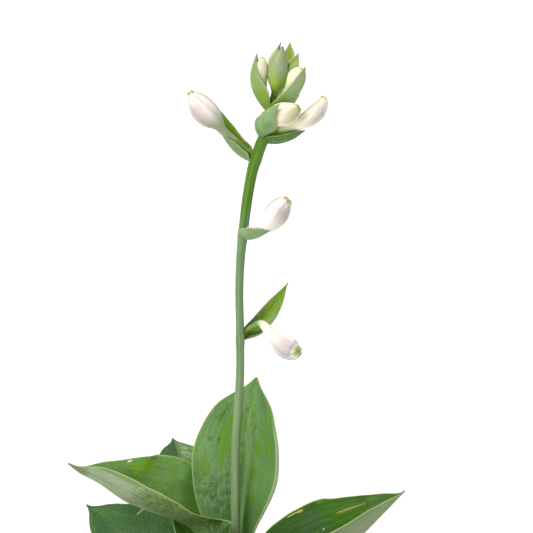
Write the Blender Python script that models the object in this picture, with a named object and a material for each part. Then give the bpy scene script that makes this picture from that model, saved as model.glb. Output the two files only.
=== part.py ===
"""Potted hosta: a clump of folded, ribbed leaves and one flower scape in a plain clay pot.

The origin is the middle of the pot's underside, +Z is up and the plant is seen from -Y.
Every length is in metres. A blade, which is a leaf or a bract, is a thick sheet that follows its
midrib: its width, its fold and its channelled stalk are formulas of the share along the midrib.
"""

import math

import bmesh
import bpy
import numpy as np

# Driving dimensions
POT_HEIGHT = 0.130
POT_RIM_RADIUS = 0.080
POT_RIM_HEIGHT = 0.026
POT_RIM_LIP = 0.005
POT_FOOT_RADIUS = 0.054
POT_WALL = 0.006
POT_FLOOR = 0.008
POT_EDGE_ROUND = 0.0020
DRAIN_RADIUS = 0.005
DRAIN_RING = 0.028
DRAIN_COUNT = 3
SOIL_LEVEL = 0.118
SOIL_LUMP = 0.0016
CROWN_RADIUS = 0.0215
CROWN_DEPTH = 0.034
CROWN_TOP = SOIL_LEVEL + 0.001
GAP = 0.0003
SOIL_GAP = 0.0006

LEAF_THICKNESS = 0.0007
BRACT_THICKNESS = 0.0006
STALK_HALF_WIDTH = 0.0034
STALK_THICKNESS = 0.0020
TIP_HALF_WIDTH = 0.0004
RIBS_EACH_SIDE = 3
RIB_DEPTH = 0.0004
MIDRIB_SHARE = 0.12
STALK_FOLDS = (2, 80)
STALK_TO_BLADE = (-0.05, 0.22)
STALK_WIDTH_FADE = 0.35
FOOT_WIDTH_FADE = 0.45
PEDICEL_RADIUS = 0.0010
SEAM_DEPTH = 0.03

LEAF_GREEN = (0.085, 0.190, 0.060)
BRACT_GREEN = (0.190, 0.330, 0.150)
SCAPE_GREEN = (0.200, 0.330, 0.130)
BUD_WHITE = (0.830, 0.780, 0.740)
YOUNG_BUD = (0.700, 0.760, 0.420)
CLAY = (0.560, 0.250, 0.140)
SOIL_BROWN = (0.050, 0.032, 0.022)
CROWN_CREAM = (0.520, 0.450, 0.300)

# The scape's centre line and its radius there, from the crown to the tip
SCAPE_LINE = [
    (0.0000, 0.0000, CROWN_TOP + GAP),
    (-0.0005, -0.0010, 0.165),
    (-0.0005, -0.0020, 0.217),
    (0.0012, -0.0030, 0.244),
    (0.0026, -0.0035, 0.270),
    (0.0026, -0.0040, 0.296),
    (0.0022, -0.0035, 0.320),
    (0.0030, -0.0030, 0.340),
    (0.0045, -0.0025, 0.355),
    (0.0072, -0.0020, 0.377),
    (0.0105, -0.0015, 0.395),
    (0.0150, -0.0010, 0.409),
    (0.0180, -0.0005, 0.416),
    (0.0202, 0.0010, 0.423),
    (0.0226, 0.0020, 0.434),
    (0.0248, 0.0030, 0.446),
    (0.0262, 0.0040, 0.456),
]
SCAPE_RADII = [
    0.0029, 0.0027, 0.0029, 0.0028, 0.0026, 0.0025, 0.0025, 0.0027, 0.0030,
    0.0032, 0.0034, 0.0037, 0.0036, 0.0032, 0.0026, 0.0020, 0.0010,
]

# Leaves. ring is the stalk's place on the crown as (radius, azimuth in degrees), line the midrib
# beyond it, and stalk the share of the line that is stalk. face is the way the upper side looks,
# and folds the degrees by which each half rises at the midrib and at the margin, both from base
# to tip. outline is the widest place as a share from the tip, then how sharply the blade draws
# out to its tip and to its stalk. wave is the margin's (height, waves, phase). uneven is the
# share by which one half is narrower near the stalk, and where along the blade that ends.
LEAVES = {
    "leaf_upright": dict(
        ring=(0.0085, 78), stalk=0.18, half_width=0.0326, outline=(0.46, 0.92, 1.00),
        uneven=(0.30, 0.0, 0.5), folds=[(26, 34), (26, 34)],
        line=[(0.0012, 0.0085, 0.143), (0.0013, 0.009, 0.156), (0.0015, 0.0095, 0.177),
              (0.0029, 0.010, 0.200), (0.0060, 0.011, 0.230), (0.0096, 0.012, 0.2472),
              (0.0128, 0.013, 0.2625)],
        face=[(0, -1, 0), (-0.26, -0.95, 0.10), (-0.28, -0.95, 0.10)], wave=(0.0010, 1.5, 0.1),
    ),
    "leaf_long_left": dict(
        ring=(0.0100, 200), stalk=0.17, half_width=0.0380, outline=(0.57, 0.92, 0.74),
        uneven=(0.95, 0.06, 0.25), folds=[(40, 44), (52, 54), (62, 66), (66, 70)],
        line=[(-0.0138, -0.0014, 0.142), (-0.0217, 0.0040, 0.1570), (-0.0315, 0.0060, 0.1685),
              (-0.0570, 0.0020, 0.1797), (-0.0701, -0.002, 0.1864), (-0.0861, -0.006, 0.1996),
              (-0.1050, -0.008, 0.2119)],
        face=[(1, 0.3, 0), (0.40, -0.34, 0.80), (0.40, -0.375, 0.82), (0.43, -0.36, 0.82),
              (0.54, -0.20, 0.81)],
        wave=(0.0006, 1.0, 0.3),
    ),
    "leaf_behind_left": dict(
        ring=(0.0155, 126), stalk=0.26, half_width=0.0255, outline=(0.48, 1.00, 0.85),
        folds=[(20, 24), (20, 24)],
        line=[(-0.0103, 0.0180, 0.145), (-0.0163, 0.028, 0.1605), (-0.0252, 0.042, 0.1746),
              (-0.0337, 0.058, 0.1852), (-0.0404, 0.074, 0.1961), (-0.0447, 0.086, 0.2056)],
        face=[(0.6, -0.8, 0.0), (0.15, -0.60, 0.76), (0.20, -0.62, 0.76)],
        wave=(0.0010, 1.5, 0.6),
    ),
    "leaf_low_left": dict(
        ring=(0.0160, 168), stalk=0.24, half_width=0.0268, outline=(0.50, 1.05, 0.80),
        folds=[(14, 20), (14, 20)],
        line=[(-0.0190, 0.006, 0.1325), (-0.0235, 0.008, 0.1365), (-0.0378, 0.013, 0.1430),
              (-0.0559, 0.017, 0.1490), (-0.0741, 0.020, 0.1576), (-0.0864, 0.022, 0.1672),
              (-0.0972, 0.024, 0.1766)],
        face=[(1, -0.1, 0), (-0.12, -0.50, 0.80), (-0.20, -0.54, 0.80), (-0.25, -0.60, 0.74)],
        wave=(0.0016, 1.5, 0.2),
    ),
    "leaf_young_left": dict(
        ring=(0.0110, 142), stalk=0.30, half_width=0.0140, outline=(0.47, 0.75, 0.85),
        folds=[(20, 40), (20, 40)],
        line=[(-0.0120, 0.0085, 0.136), (-0.0190, 0.0110, 0.147), (-0.0300, 0.0120, 0.159),
              (-0.0416, 0.0120, 0.1712)],
        face=[(1, -0.6, 0), (0.40, -0.75, 0.50), (0.45, -0.75, 0.50)], wave=(0.0, 1.0, 0.0),
    ),
    "leaf_right": dict(
        ring=(0.0095, 342), stalk=0.18, half_width=0.0335, outline=(0.57, 0.82, 0.78),
        folds=[(56, 56), (56, 56)],
        line=[(0.0136, -0.003, 0.1365), (0.0275, -0.006, 0.1440), (0.0438, -0.009, 0.1495),
              (0.0607, -0.011, 0.1560), (0.0750, -0.013, 0.1645), (0.0904, -0.014, 0.1802),
              (0.1052, -0.014, 0.1961)],
        face=[(-1, 0.3, 0), (-0.35, -0.38, 0.84), (-0.55, -0.40, 0.72), (-0.63, -0.38, 0.67),
              (-0.68, -0.20, 0.70)],
        wave=(0.0006, 1.0, 0.5),
    ),
    "leaf_front_right": dict(
        ring=(0.0160, 308), stalk=0.26, half_width=0.0300, outline=(0.48, 0.75, 0.85),
        folds=[(18, 14), (18, 14)],
        line=[(0.0150, -0.019, 0.138), (0.0330, -0.040, 0.152), (0.0560, -0.066, 0.150),
              (0.0840, -0.096, 0.126)],
        face=[(-0.6, 0.8, 0), (-0.25, 0.30, 0.95), (0.10, -0.15, 1.0), (0.40, -0.45, 0.80)],
        wave=(0.0020, 2.0, 0.1),
    ),
    "leaf_front_left": dict(
        ring=(0.0160, 244), stalk=0.26, half_width=0.0300, outline=(0.48, 0.75, 0.85),
        folds=[(20, 16), (20, 16)],
        line=[(-0.0105, -0.021, 0.138), (-0.0250, -0.044, 0.152), (-0.0430, -0.074, 0.148),
              (-0.0620, -0.106, 0.122)],
        face=[(0.5, 0.9, 0), (0.15, 0.35, 0.95), (-0.05, -0.15, 1.0), (-0.30, -0.50, 0.80)],
        wave=(0.0020, 2.0, 0.6),
    ),
    "leaf_behind": dict(
        ring=(0.0160, 88), stalk=0.26, half_width=0.0180, outline=(0.48, 0.75, 0.85),
        folds=[(22, 18), (22, 18)],
        line=[(0.0018, 0.024, 0.150), (0.0038, 0.033, 0.178), (0.0062, 0.050, 0.200),
              (0.0080, 0.074, 0.212)],
        face=[(0, -1, 0), (0, -0.80, 0.60), (0, -0.60, 0.80), (0, -0.30, 0.95)],
        wave=(0.0016, 2.0, 0.3),
    ),
    "leaf_behind_right": dict(
        ring=(0.0160, 38), stalk=0.26, half_width=0.0290, outline=(0.48, 0.75, 0.85),
        folds=[(16, 12), (16, 12)],
        line=[(0.0190, 0.014, 0.136), (0.0430, 0.033, 0.147), (0.0730, 0.056, 0.143),
              (0.1050, 0.080, 0.118)],
        face=[(-0.8, -0.6, 0), (-0.30, -0.22, 0.95), (0.10, 0.08, 1.0), (0.45, 0.35, 0.85)],
        wave=(0.0020, 2.0, 0.8),
    ),
    "leaf_young_front": dict(
        ring=(0.0090, 278), stalk=0.34, half_width=0.0150, outline=(0.48, 0.75, 0.85),
        folds=[(24, 30), (24, 30)],
        line=[(0.0020, -0.0135, 0.140), (0.0050, -0.030, 0.156), (0.0080, -0.050, 0.159),
              (0.0100, -0.068, 0.150)],
        face=[(0, 1, 0), (-0.05, 0.45, 0.90), (-0.05, 0.10, 1.0), (0, -0.20, 1.0)],
        wave=(0.0006, 1.5, 0.0),
    ),
}

# Flowers of the scape. bud is the line of a bud's pedicel, tube and swollen end, girth and tube
# its radii there. bract is the midrib of the bract under it and face the way its hollow side
# looks; half_width, outline and folds are as in a leaf, and foot is the share of its width that
# clasps the scape.
FLOWERS = {
    "left": dict(
        bud=[(0.0125, -0.002, 0.4035), (0.0060, -0.003, 0.4090), (-0.0020, -0.004, 0.4160),
             (-0.0125, -0.006, 0.4260), (-0.0215, -0.007, 0.4355), (-0.0275, -0.008, 0.4430)],
        girth=0.0074, tube=0.0024,
        bract=[(0.0113, 0.001, 0.4005), (0.0066, 0.004, 0.4028), (0.0010, 0.006, 0.4090),
               (-0.0053, 0.007, 0.4186), (-0.0100, 0.007, 0.4272), (-0.0124, 0.006, 0.4334)],
        face=[(0.10, -0.80, 0.60), (0.25, -0.90, 0.35), (0.30, -0.92, 0.25)],
        half_width=0.0070, outline=(0.62, 0.80, 0.60), folds=[(20, 70), (20, 60)], foot=0.40,
    ),
    "front": dict(
        bud=[(0.0175, -0.0003, 0.4188), (0.0192, -0.0057, 0.4240), (0.0242, -0.0088, 0.4273),
             (0.0314, -0.0107, 0.4297), (0.0387, -0.0108, 0.4327)],
        girth=0.0066, tube=0.0024,
        bract=[(0.0162, -0.002, 0.4150), (0.0162, -0.0115, 0.4203), (0.0180, -0.0185, 0.4272),
               (0.0216, -0.0205, 0.4324), (0.0268, -0.0205, 0.4362)],
        face=[(0.20, 0.50, 0.80), (0.60, 0.75, 0.20), (0.60, 0.80, -0.3)],
        half_width=0.0098, outline=(0.58, 0.70, 0.60), folds=[(20, 75), (20, 75)], foot=0.45,
    ),
    "right": dict(
        bud=[(0.0185, 0.000, 0.4156), (0.0250, -0.001, 0.4185), (0.0335, -0.002, 0.4216),
             (0.0420, -0.003, 0.4254), (0.0490, -0.004, 0.4303), (0.0545, -0.004, 0.4390)],
        girth=0.0055, tube=0.0032,
        bract=[(0.0180, -0.001, 0.4118), (0.0265, -0.002, 0.4110), (0.0350, -0.003, 0.4131),
               (0.0426, -0.003, 0.4188)],
        face=[(-0.2, -0.20, 0.90), (-0.3, -0.10, 0.90)],
        half_width=0.0085, outline=(0.58, 0.75, 0.60), folds=[(30, 65), (30, 65)], foot=0.40,
    ),
    "upper_right": dict(
        bud=[(0.0236, -0.001, 0.4360), (0.0299, -0.0043, 0.4417), (0.0337, -0.0070, 0.4478),
             (0.0372, -0.0078, 0.4540), (0.0405, -0.0078, 0.4580)],
        girth=0.0046, tube=0.0016,
        bract=[(0.0217, -0.002, 0.4323), (0.0290, -0.0100, 0.4374), (0.0370, -0.0145, 0.4430),
               (0.0414, -0.0142, 0.4504), (0.0422, -0.0108, 0.4580)],
        face=[(-0.3, 0.5, 0.8), (-0.60, 0.70, 0.40), (-0.60, 0.75, 0.3)],
        half_width=0.0070, outline=(0.52, 0.75, 0.75), folds=[(14, 58), (14, 58)], foot=0.15,
    ),
    "upper_left": dict(
        bud=[(0.0215, 0.0005, 0.4335), (0.0180, 0.000, 0.4405), (0.0168, -0.0006, 0.4490),
             (0.0164, -0.0010, 0.4570), (0.0164, -0.0010, 0.4640)],
        girth=0.0029, tube=0.0014,
        bract=[(0.0205, 0.001, 0.4300), (0.0142, 0.0016, 0.4378), (0.0102, 0.0015, 0.4465),
               (0.0100, 0.0011, 0.4557), (0.0132, 0.0008, 0.4660)],
        face=[(0.75, -0.30, 0.5), (0.92, -0.30, 0.1), (0.92, -0.30, 0.0)],
        half_width=0.0078, outline=(0.52, 0.75, 0.65), folds=[(20, 75), (20, 75)], foot=0.22,
    ),
    "middle": dict(
        bud=[(0.0040, -0.001, 0.3574), (0.0100, -0.005, 0.3590), (0.0160, -0.007, 0.3619),
             (0.0225, -0.008, 0.3665), (0.0285, -0.009, 0.3737), (0.0335, -0.009, 0.3795)],
        girth=0.0070, tube=0.0024,
        bract=[(0.0020, 0.000, 0.3540), (0.0080, -0.0085, 0.3522), (0.0144, -0.0125, 0.3533),
               (0.0222, -0.0128, 0.3595)],
        face=[(-0.2, 0.35, 0.90), (-0.2, 0.35, 0.90)],
        half_width=0.0085, outline=(0.58, 0.75, 0.60), folds=[(25, 72), (25, 72)], foot=0.45,
    ),
    "lower": dict(
        bud=[(0.0030, -0.001, 0.2930), (0.0105, -0.004, 0.2980), (0.0160, -0.006, 0.3000),
             (0.0220, -0.007, 0.2967), (0.0280, -0.008, 0.2912), (0.0340, -0.008, 0.2865),
             (0.0395, -0.008, 0.2835)],
        girth=0.0066, tube=0.0022,
        bract=[(0.0025, 0.001, 0.2890), (0.0095, 0.003, 0.2942), (0.0160, 0.004, 0.3015),
               (0.0245, 0.003, 0.3125), (0.0325, 0.000, 0.3250)],
        face=[(-0.2, -0.80, 0.60), (0.30, -0.95, 0.10), (0.35, -0.95, -0.1)],
        half_width=0.0072, outline=(0.62, 0.80, 0.60), folds=[(35, 55), (35, 45)], foot=0.45,
    ),
    "back": dict(
        bud=[(0.0205, 0.002, 0.4265), (0.0225, 0.009, 0.4305), (0.0255, 0.015, 0.4350),
             (0.0285, 0.019, 0.4405), (0.0305, 0.021, 0.4460)],
        girth=0.0046, tube=0.0018,
        bract=[(0.0205, 0.002, 0.4227), (0.0236, 0.013, 0.4247), (0.0288, 0.0225, 0.4302),
               (0.0322, 0.0270, 0.4390), (0.0330, 0.0280, 0.4480)],
        face=[(-0.1, -0.4, 0.9), (-0.3, -0.6, 0.7), (-0.3, -0.85, 0.4)],
        half_width=0.0078, outline=(0.55, 0.75, 0.65), folds=[(25, 70), (25, 70)], foot=0.35,
    ),
    "top_front": dict(
        bud=[(0.0243, 0.0010, 0.4450), (0.0256, -0.0020, 0.4500), (0.0264, -0.0028, 0.4560),
             (0.0272, -0.0026, 0.4615)],
        girth=0.0026, tube=0.0011,
        bract=[(0.0243, 0.001, 0.4395), (0.0249, -0.0074, 0.4466), (0.0260, -0.0088, 0.4574),
               (0.0288, -0.005, 0.4703)],
        face=[(0.1, 0.9, 0.3), (0.05, 1, 0), (0, 1, 0)],
        half_width=0.0084, outline=(0.45, 0.70, 0.80), folds=[(18, 75), (18, 75)], foot=0.15,
    ),
    "top_left": dict(
        bud=[(0.0248, 0.0040, 0.4500), (0.0236, 0.0046, 0.4545), (0.0239, 0.0049, 0.4585),
             (0.0246, 0.0049, 0.4615)],
        girth=0.0013, tube=0.0008,
        bract=[(0.0242, 0.004, 0.4424), (0.0203, 0.0076, 0.4509), (0.0208, 0.0078, 0.4618),
               (0.0279, 0.006, 0.4726)],
        face=[(0.8, -0.1, 0.5), (0.95, -0.3, 0), (0.9, -0.3, -0.2)],
        half_width=0.0054, outline=(0.50, 0.70, 0.75), folds=[(18, 65), (18, 65)], foot=0.20,
    ),
    "top_back": dict(
        bud=[(0.0264, 0.0050, 0.4540), (0.0288, 0.0085, 0.4572), (0.0302, 0.0098, 0.4610),
             (0.0310, 0.0098, 0.4645)],
        girth=0.0018, tube=0.0009,
        bract=[(0.0268, 0.005, 0.4480), (0.0304, 0.0142, 0.4546), (0.0330, 0.0152, 0.4629),
               (0.0334, 0.011, 0.4722)],
        face=[(-0.1, -0.7, 0.6), (-0.1, -1, 0), (-0.1, -1, 0)],
        half_width=0.0060, outline=(0.50, 0.70, 0.75), folds=[(18, 65), (18, 65)], foot=0.10,
    ),
    "top_right": dict(
        bud=[(0.0262, 0.0025, 0.4505), (0.0308, 0.0028, 0.4548), (0.0334, 0.0030, 0.4590),
             (0.0346, 0.0030, 0.4625)],
        girth=0.0017, tube=0.0009,
        bract=[(0.0254, 0.0022, 0.4434), (0.0336, 0.0027, 0.4488), (0.0381, 0.0036, 0.4574),
               (0.0384, 0.0030, 0.4660)],
        face=[(-0.6, -0.2, 0.8), (-0.9, -0.35, 0.1), (-0.9, -0.35, 0)],
        half_width=0.0047, outline=(0.50, 0.70, 0.75), folds=[(18, 60), (18, 60)], foot=0.15,
    ),
}

GRID = dict(stalk_rows=3, blade_rows=10, columns=12)
BRACT_GRID = dict(stalk_rows=0, blade_rows=6, columns=6)
BUD_SIDES = 10
BUD_RINGS = 9
ROOT_COUNT = 7


# Curves and profiles


def smooth_step(low, high, x):
    share = np.clip((x - low) / (high - low), 0.0, 1.0)
    return share * share * (3.0 - 2.0 * share)


def unit(vectors):
    return vectors / np.linalg.norm(vectors, axis=-1, keepdims=True)


def curve_through(points, shares):
    """A smooth curve through the points, read at shares of its length from 0 to 1."""
    points = np.asarray(points, float)
    padded = np.vstack([2 * points[0] - points[1], points, 2 * points[-1] - points[-2]])
    steps = np.linspace(0.0, 1.0, 24, endpoint=False)[:, None]
    pieces = []
    for a, b, c, d in zip(padded, padded[1:], padded[2:], padded[3:]):
        pieces.append(
            0.5 * (2 * b + (c - a) * steps + (2 * a - 5 * b + 4 * c - d) * steps**2
                   + (3 * b - a - 3 * c + d) * steps**3)
        )
    fine = np.vstack([*pieces, points[-1:]])
    along = np.concatenate([[0.0], np.cumsum(np.linalg.norm(np.diff(fine, axis=0), axis=1))])
    wanted = np.asarray(shares) * along[-1]
    return np.stack([np.interp(wanted, along, fine[:, axis]) for axis in range(3)], axis=1)


def read_evenly(values, shares):
    """Rows of numbers that lie evenly from share 0 to share 1, read at the shares."""
    values = np.asarray(values, float)
    places = np.linspace(0.0, 1.0, len(values))
    return np.stack([np.interp(shares, places, column) for column in values.T], axis=1)


def blade_outline(from_tip, widest, to_tip, to_base):
    """Half width of an ovate blade with a drawn-out tip, as a share, from its tip (0) to its base (1)."""
    bend = math.log(0.5) / math.log(widest)
    swell = np.sin(math.pi * np.clip(from_tip, 0.0, 1.0) ** bend).clip(0.0)
    body = np.where(from_tip < widest, swell**to_tip, swell**to_base)
    return body * (1.0 - 0.5 * np.exp(-((from_tip / 0.05) ** 1.3)))


# Blades


def blade_grid(
    line, face, half_width, outline, folds, grid, thickness,
    wave=(0.0, 1.0, 0.0), stalk=0.0, foot=0.0, uneven=(0.0, 0.0, 1.0),
):
    """The middle surface of a blade and its thickness, as arrays of rows by columns."""
    stalk_shares = np.linspace(0.0, stalk, grid["stalk_rows"], endpoint=False)
    turns = np.linspace(0.0, 1.0, grid["blade_rows"] + 1)
    blade_shares = stalk + (1.0 - stalk) * (0.55 * turns + 0.45 * np.sin(0.5 * math.pi * turns))
    shares = np.concatenate([stalk_shares, blade_shares])
    centre = curve_through(line, shares)
    tangent = unit(np.gradient(centre, shares, axis=0))
    facing = read_evenly(face, shares)
    facing = unit(facing - tangent * np.sum(facing * tangent, axis=1, keepdims=True))
    side = np.cross(tangent, facing)

    past_stalk = (shares - stalk) / (1.0 - stalk)
    in_blade = np.clip(past_stalk, 0.0, 1.0)
    is_blade = smooth_step(*STALK_TO_BLADE, past_stalk) if stalk else np.ones_like(shares)
    width = half_width * np.where(shares < stalk, 0.0, blade_outline(1.0 - in_blade, *outline))
    width += TIP_HALF_WIDTH
    width += STALK_HALF_WIDTH * (1.0 - smooth_step(0.0, STALK_WIDTH_FADE, in_blade)) * (stalk > 0.0)
    width += foot * half_width * (1.0 - smooth_step(0.0, FOOT_WIDTH_FADE, in_blade))
    blade_folds = np.radians(read_evenly(folds, in_blade))
    stalk_folds = np.radians(STALK_FOLDS)
    mid_angle, margin_angle = (stalk_folds + (blade_folds - stalk_folds) * is_blade[:, None]).T

    across = np.linspace(-1.0, 1.0, grid["columns"] + 1)
    reach = np.abs(across)[None, :]
    bend = (margin_angle - mid_angle)[:, None]
    bend = np.where(np.abs(bend) < 1e-4, 1e-4, bend)
    start = mid_angle[:, None]
    narrowing, full_until, gone_at = uneven
    near_stalk = is_blade * (1.0 - smooth_step(full_until, gone_at, in_blade))
    width = width[:, None] * (1.0 - narrowing * np.sign(across)[None, :] * near_stalk[:, None])
    sideways = width * (np.sin(start + bend * reach) - np.sin(start)) / bend
    lift = width * (np.cos(start) - np.cos(start + bend * reach)) / bend
    height, waves, phase = wave
    ripple = height * np.sin(2 * math.pi * (waves * shares[:, None] + phase) + 1.3 * (across[None, :] > 0))
    lift = lift + ripple * reach**2 * (is_blade * np.sin(math.pi * in_blade) ** 0.5)[:, None]
    if stalk:
        ribs = np.cos(2 * math.pi * RIBS_EACH_SIDE * reach)
        lift = lift + RIB_DEPTH * ribs * (np.sin(math.pi * in_blade) ** 0.7 * is_blade)[:, None]

    surface = (
        centre[:, None, :]
        + side[:, None, :] * (np.sign(across)[None, :] * sideways)[:, :, None]
        + facing[:, None, :] * lift[:, :, None]
    )
    depth = thickness + (STALK_THICKNESS - thickness) * (1.0 - is_blade)
    midrib = 0.6 * thickness * (1.0 - in_blade)[:, None] * np.exp(-((reach / MIDRIB_SHARE) ** 2))
    return surface, depth[:, None] + midrib


def sheet_solid(name, surface, depth, material, floor=0.0):
    """A closed solid that lies half its depth to each side of the surface, and none of it below the floor."""
    rows, columns = surface.shape[:2]
    along = np.gradient(surface, axis=0)
    over = np.gradient(surface, axis=1)
    normal = unit(np.cross(over, along))
    offset = normal * (0.5 * np.broadcast_to(depth, (rows, columns)))[:, :, None]
    points = np.vstack([(surface + offset).reshape(-1, 3), (surface - offset).reshape(-1, 3)])
    points[:, 2] = np.maximum(points[:, 2], floor)
    under = rows * columns
    faces = []
    for row in range(rows - 1):
        for column in range(columns - 1):
            a = row * columns + column
            b, c, d = a + 1, a + columns + 1, a + columns
            faces += [(a, b, c), (a, c, d)]
            faces += [(under + a, under + c, under + b), (under + a, under + d, under + c)]
    rim = list(range(columns))
    rim += [row * columns + columns - 1 for row in range(1, rows)]
    rim += [(rows - 1) * columns + column for column in range(columns - 2, -1, -1)]
    rim += [row * columns for row in range(rows - 2, 0, -1)]
    for a, b in zip(rim, rim[1:] + rim[:1]):
        faces += [(b, a, under + a), (b, under + a, under + b)]
    return solid_object(name, points, faces, material)


def leaf(name, ring, line, **shape):
    """A leaf whose stalk stands on the crown and whose blade follows the line."""
    radius, azimuth = ring
    foot = (radius * math.cos(math.radians(azimuth)), radius * math.sin(math.radians(azimuth)))
    bottom = CROWN_TOP + GAP
    line = [(*foot, bottom), (*foot, bottom + 0.004), *line]
    surface, depth = blade_grid(line, grid=GRID, thickness=LEAF_THICKNESS, **shape)
    surface[0, :, 2] = bottom
    return sheet_solid(name, surface, depth, LEAF_MATERIAL, bottom)


# Round solids


def tube_solid(name, centres, radii, sides, material):
    """A closed tube round a line of centres, with its own radius at each. radii may vary by side."""
    centres = np.asarray(centres, float)
    radii = np.asarray(radii, float)
    radii = radii[:, None] if radii.ndim == 1 else radii
    tangent = unit(np.gradient(centres, axis=0))
    first = np.cross(tangent[0], (0.0, 1.0, 0.0))
    frames = [unit(first if np.linalg.norm(first) > 0.2 else np.cross(tangent[0], (1.0, 0.0, 0.0)))]
    for direction in tangent[1:]:
        last = frames[-1] - direction * np.dot(frames[-1], direction)
        frames.append(unit(last))
    across = np.array(frames)
    other = np.cross(tangent, across)
    turns = np.arange(sides) * 2 * math.pi / sides
    ring = np.cos(turns)[None, :, None] * across[:, None] + np.sin(turns)[None, :, None] * other[:, None]
    points = (centres[:, None] + ring * radii[:, :, None]).reshape(-1, 3)
    points = np.vstack([points, centres[0], centres[-1]])
    start, end = len(points) - 2, len(points) - 1
    faces = []
    for row in range(len(centres) - 1):
        for turn in range(sides):
            a, b = row * sides + turn, row * sides + (turn + 1) % sides
            faces += [(a, b, b + sides), (a, b + sides, a + sides)]
    last_ring = (len(centres) - 1) * sides
    for turn in range(sides):
        after = (turn + 1) % sides
        faces += [(start, after, turn), (end, last_ring + turn, last_ring + after)]
    return solid_object(name, points, faces, material)


def turned_solid(name, profile, sides, material):
    """A solid turned round +Z from a profile of (radius, height) that starts and ends on the axis."""
    mesh = bmesh.new()
    corners = [mesh.verts.new((radius, 0.0, height)) for radius, height in profile]
    edges = [mesh.edges.new(pair) for pair in zip(corners, corners[1:])]
    bmesh.ops.spin(
        mesh, geom=[*corners, *edges], cent=(0, 0, 0), axis=(0, 0, 1), angle=2 * math.pi,
        steps=sides, use_merge=True,
    )
    bmesh.ops.remove_doubles(mesh, verts=mesh.verts, dist=1e-6)
    bmesh.ops.recalc_face_normals(mesh, faces=mesh.faces)
    data = bpy.data.meshes.new(name)
    mesh.to_mesh(data)
    mesh.free()
    return place(name, data, material)


def solid_object(name, points, faces, material):
    data = bpy.data.meshes.new(name)
    data.from_pydata(points.tolist(), [], faces)
    mesh = bmesh.new()
    mesh.from_mesh(data)
    bmesh.ops.recalc_face_normals(mesh, faces=mesh.faces)
    mesh.to_mesh(data)
    mesh.free()
    return place(name, data, material)


def place(name, data, material):
    built = bpy.data.objects.new(name, data)
    data.materials.append(material)
    data.shade_smooth()
    data.set_sharp_from_angle(angle=math.radians(50))
    bpy.context.scene.collection.objects.link(built)
    return built


def finish(name, colour, roughness):
    material = bpy.data.materials.new(name)
    material.use_nodes = True
    shader = material.node_tree.nodes["Principled BSDF"]
    shader.inputs["Base Color"].default_value = (*colour, 1.0)
    shader.inputs["Roughness"].default_value = roughness
    return material


def cut(body, cutter):
    """Takes the cutter's space out of the body and keeps the cutter as a hidden guide."""
    cutter.hide_render = True
    cutter.display_type = "WIRE"
    modifier = body.modifiers.new("clear_of_" + cutter.name, "BOOLEAN")
    modifier.operation = "DIFFERENCE"
    modifier.solver = "EXACT"
    modifier.object = cutter


# The scape, its bracts and its buds


def scape_solid(name, more):
    """The scape, or its outer shape grown by more on every side, for cutting a seat round it."""
    line = np.array(SCAPE_LINE)
    line[0] -= (0.0, 0.0, more)
    line[-1] += more * unit(line[-1] - line[-2])
    radii = [radius + more for radius in SCAPE_RADII]
    return tube_solid(name, line, radii, 12, SCAPE_MATERIAL)


def bud_radii(shares, girth, tube):
    """A slim stalk and tube that swell into a club and close in a blunt point."""
    slim = PEDICEL_RADIUS + (tube - PEDICEL_RADIUS) * smooth_step(0.05, 0.45, shares)
    slim = slim * (1.0 - smooth_step(0.75, 1.0, shares))
    club = girth * np.sin(math.pi * shares**2.8).clip(0.0) ** 0.8
    return np.sqrt(slim**2 + club**2) + TIP_HALF_WIDTH


def bud_solid(name, line, girth, tube, material):
    """A closed bud. Its petal edges show as shallow seams along the swollen end."""
    turns = np.linspace(0.0, 1.0, BUD_RINGS)
    shares = 0.5 * turns + 0.5 * np.sin(0.5 * math.pi * turns)
    radii = bud_radii(shares, girth, tube)[:, None] * np.ones((1, BUD_SIDES))
    seam = SEAM_DEPTH * np.cos(math.pi * np.arange(BUD_SIDES))[None, :]
    radii = radii * (1.0 + seam * smooth_step(0.4, 0.7, shares)[:, None])
    return tube_solid(name, curve_through(line, shares), radii, BUD_SIDES, material)


def flower(name, bud, girth, tube, bract, **shape):
    """One bud and the bract under it."""
    young = name.startswith("top")
    bud_piece = bud_solid("bud_" + name, bud, girth, tube, YOUNG_MATERIAL if young else BUD_MATERIAL)
    surface, depth = blade_grid(bract, grid=BRACT_GRID, thickness=BRACT_THICKNESS, **shape)
    bract_piece = sheet_solid("bract_" + name, surface, depth, BRACT_MATERIAL)
    return bud_piece, bract_piece


# The crown with its roots, the soil and the pot


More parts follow.
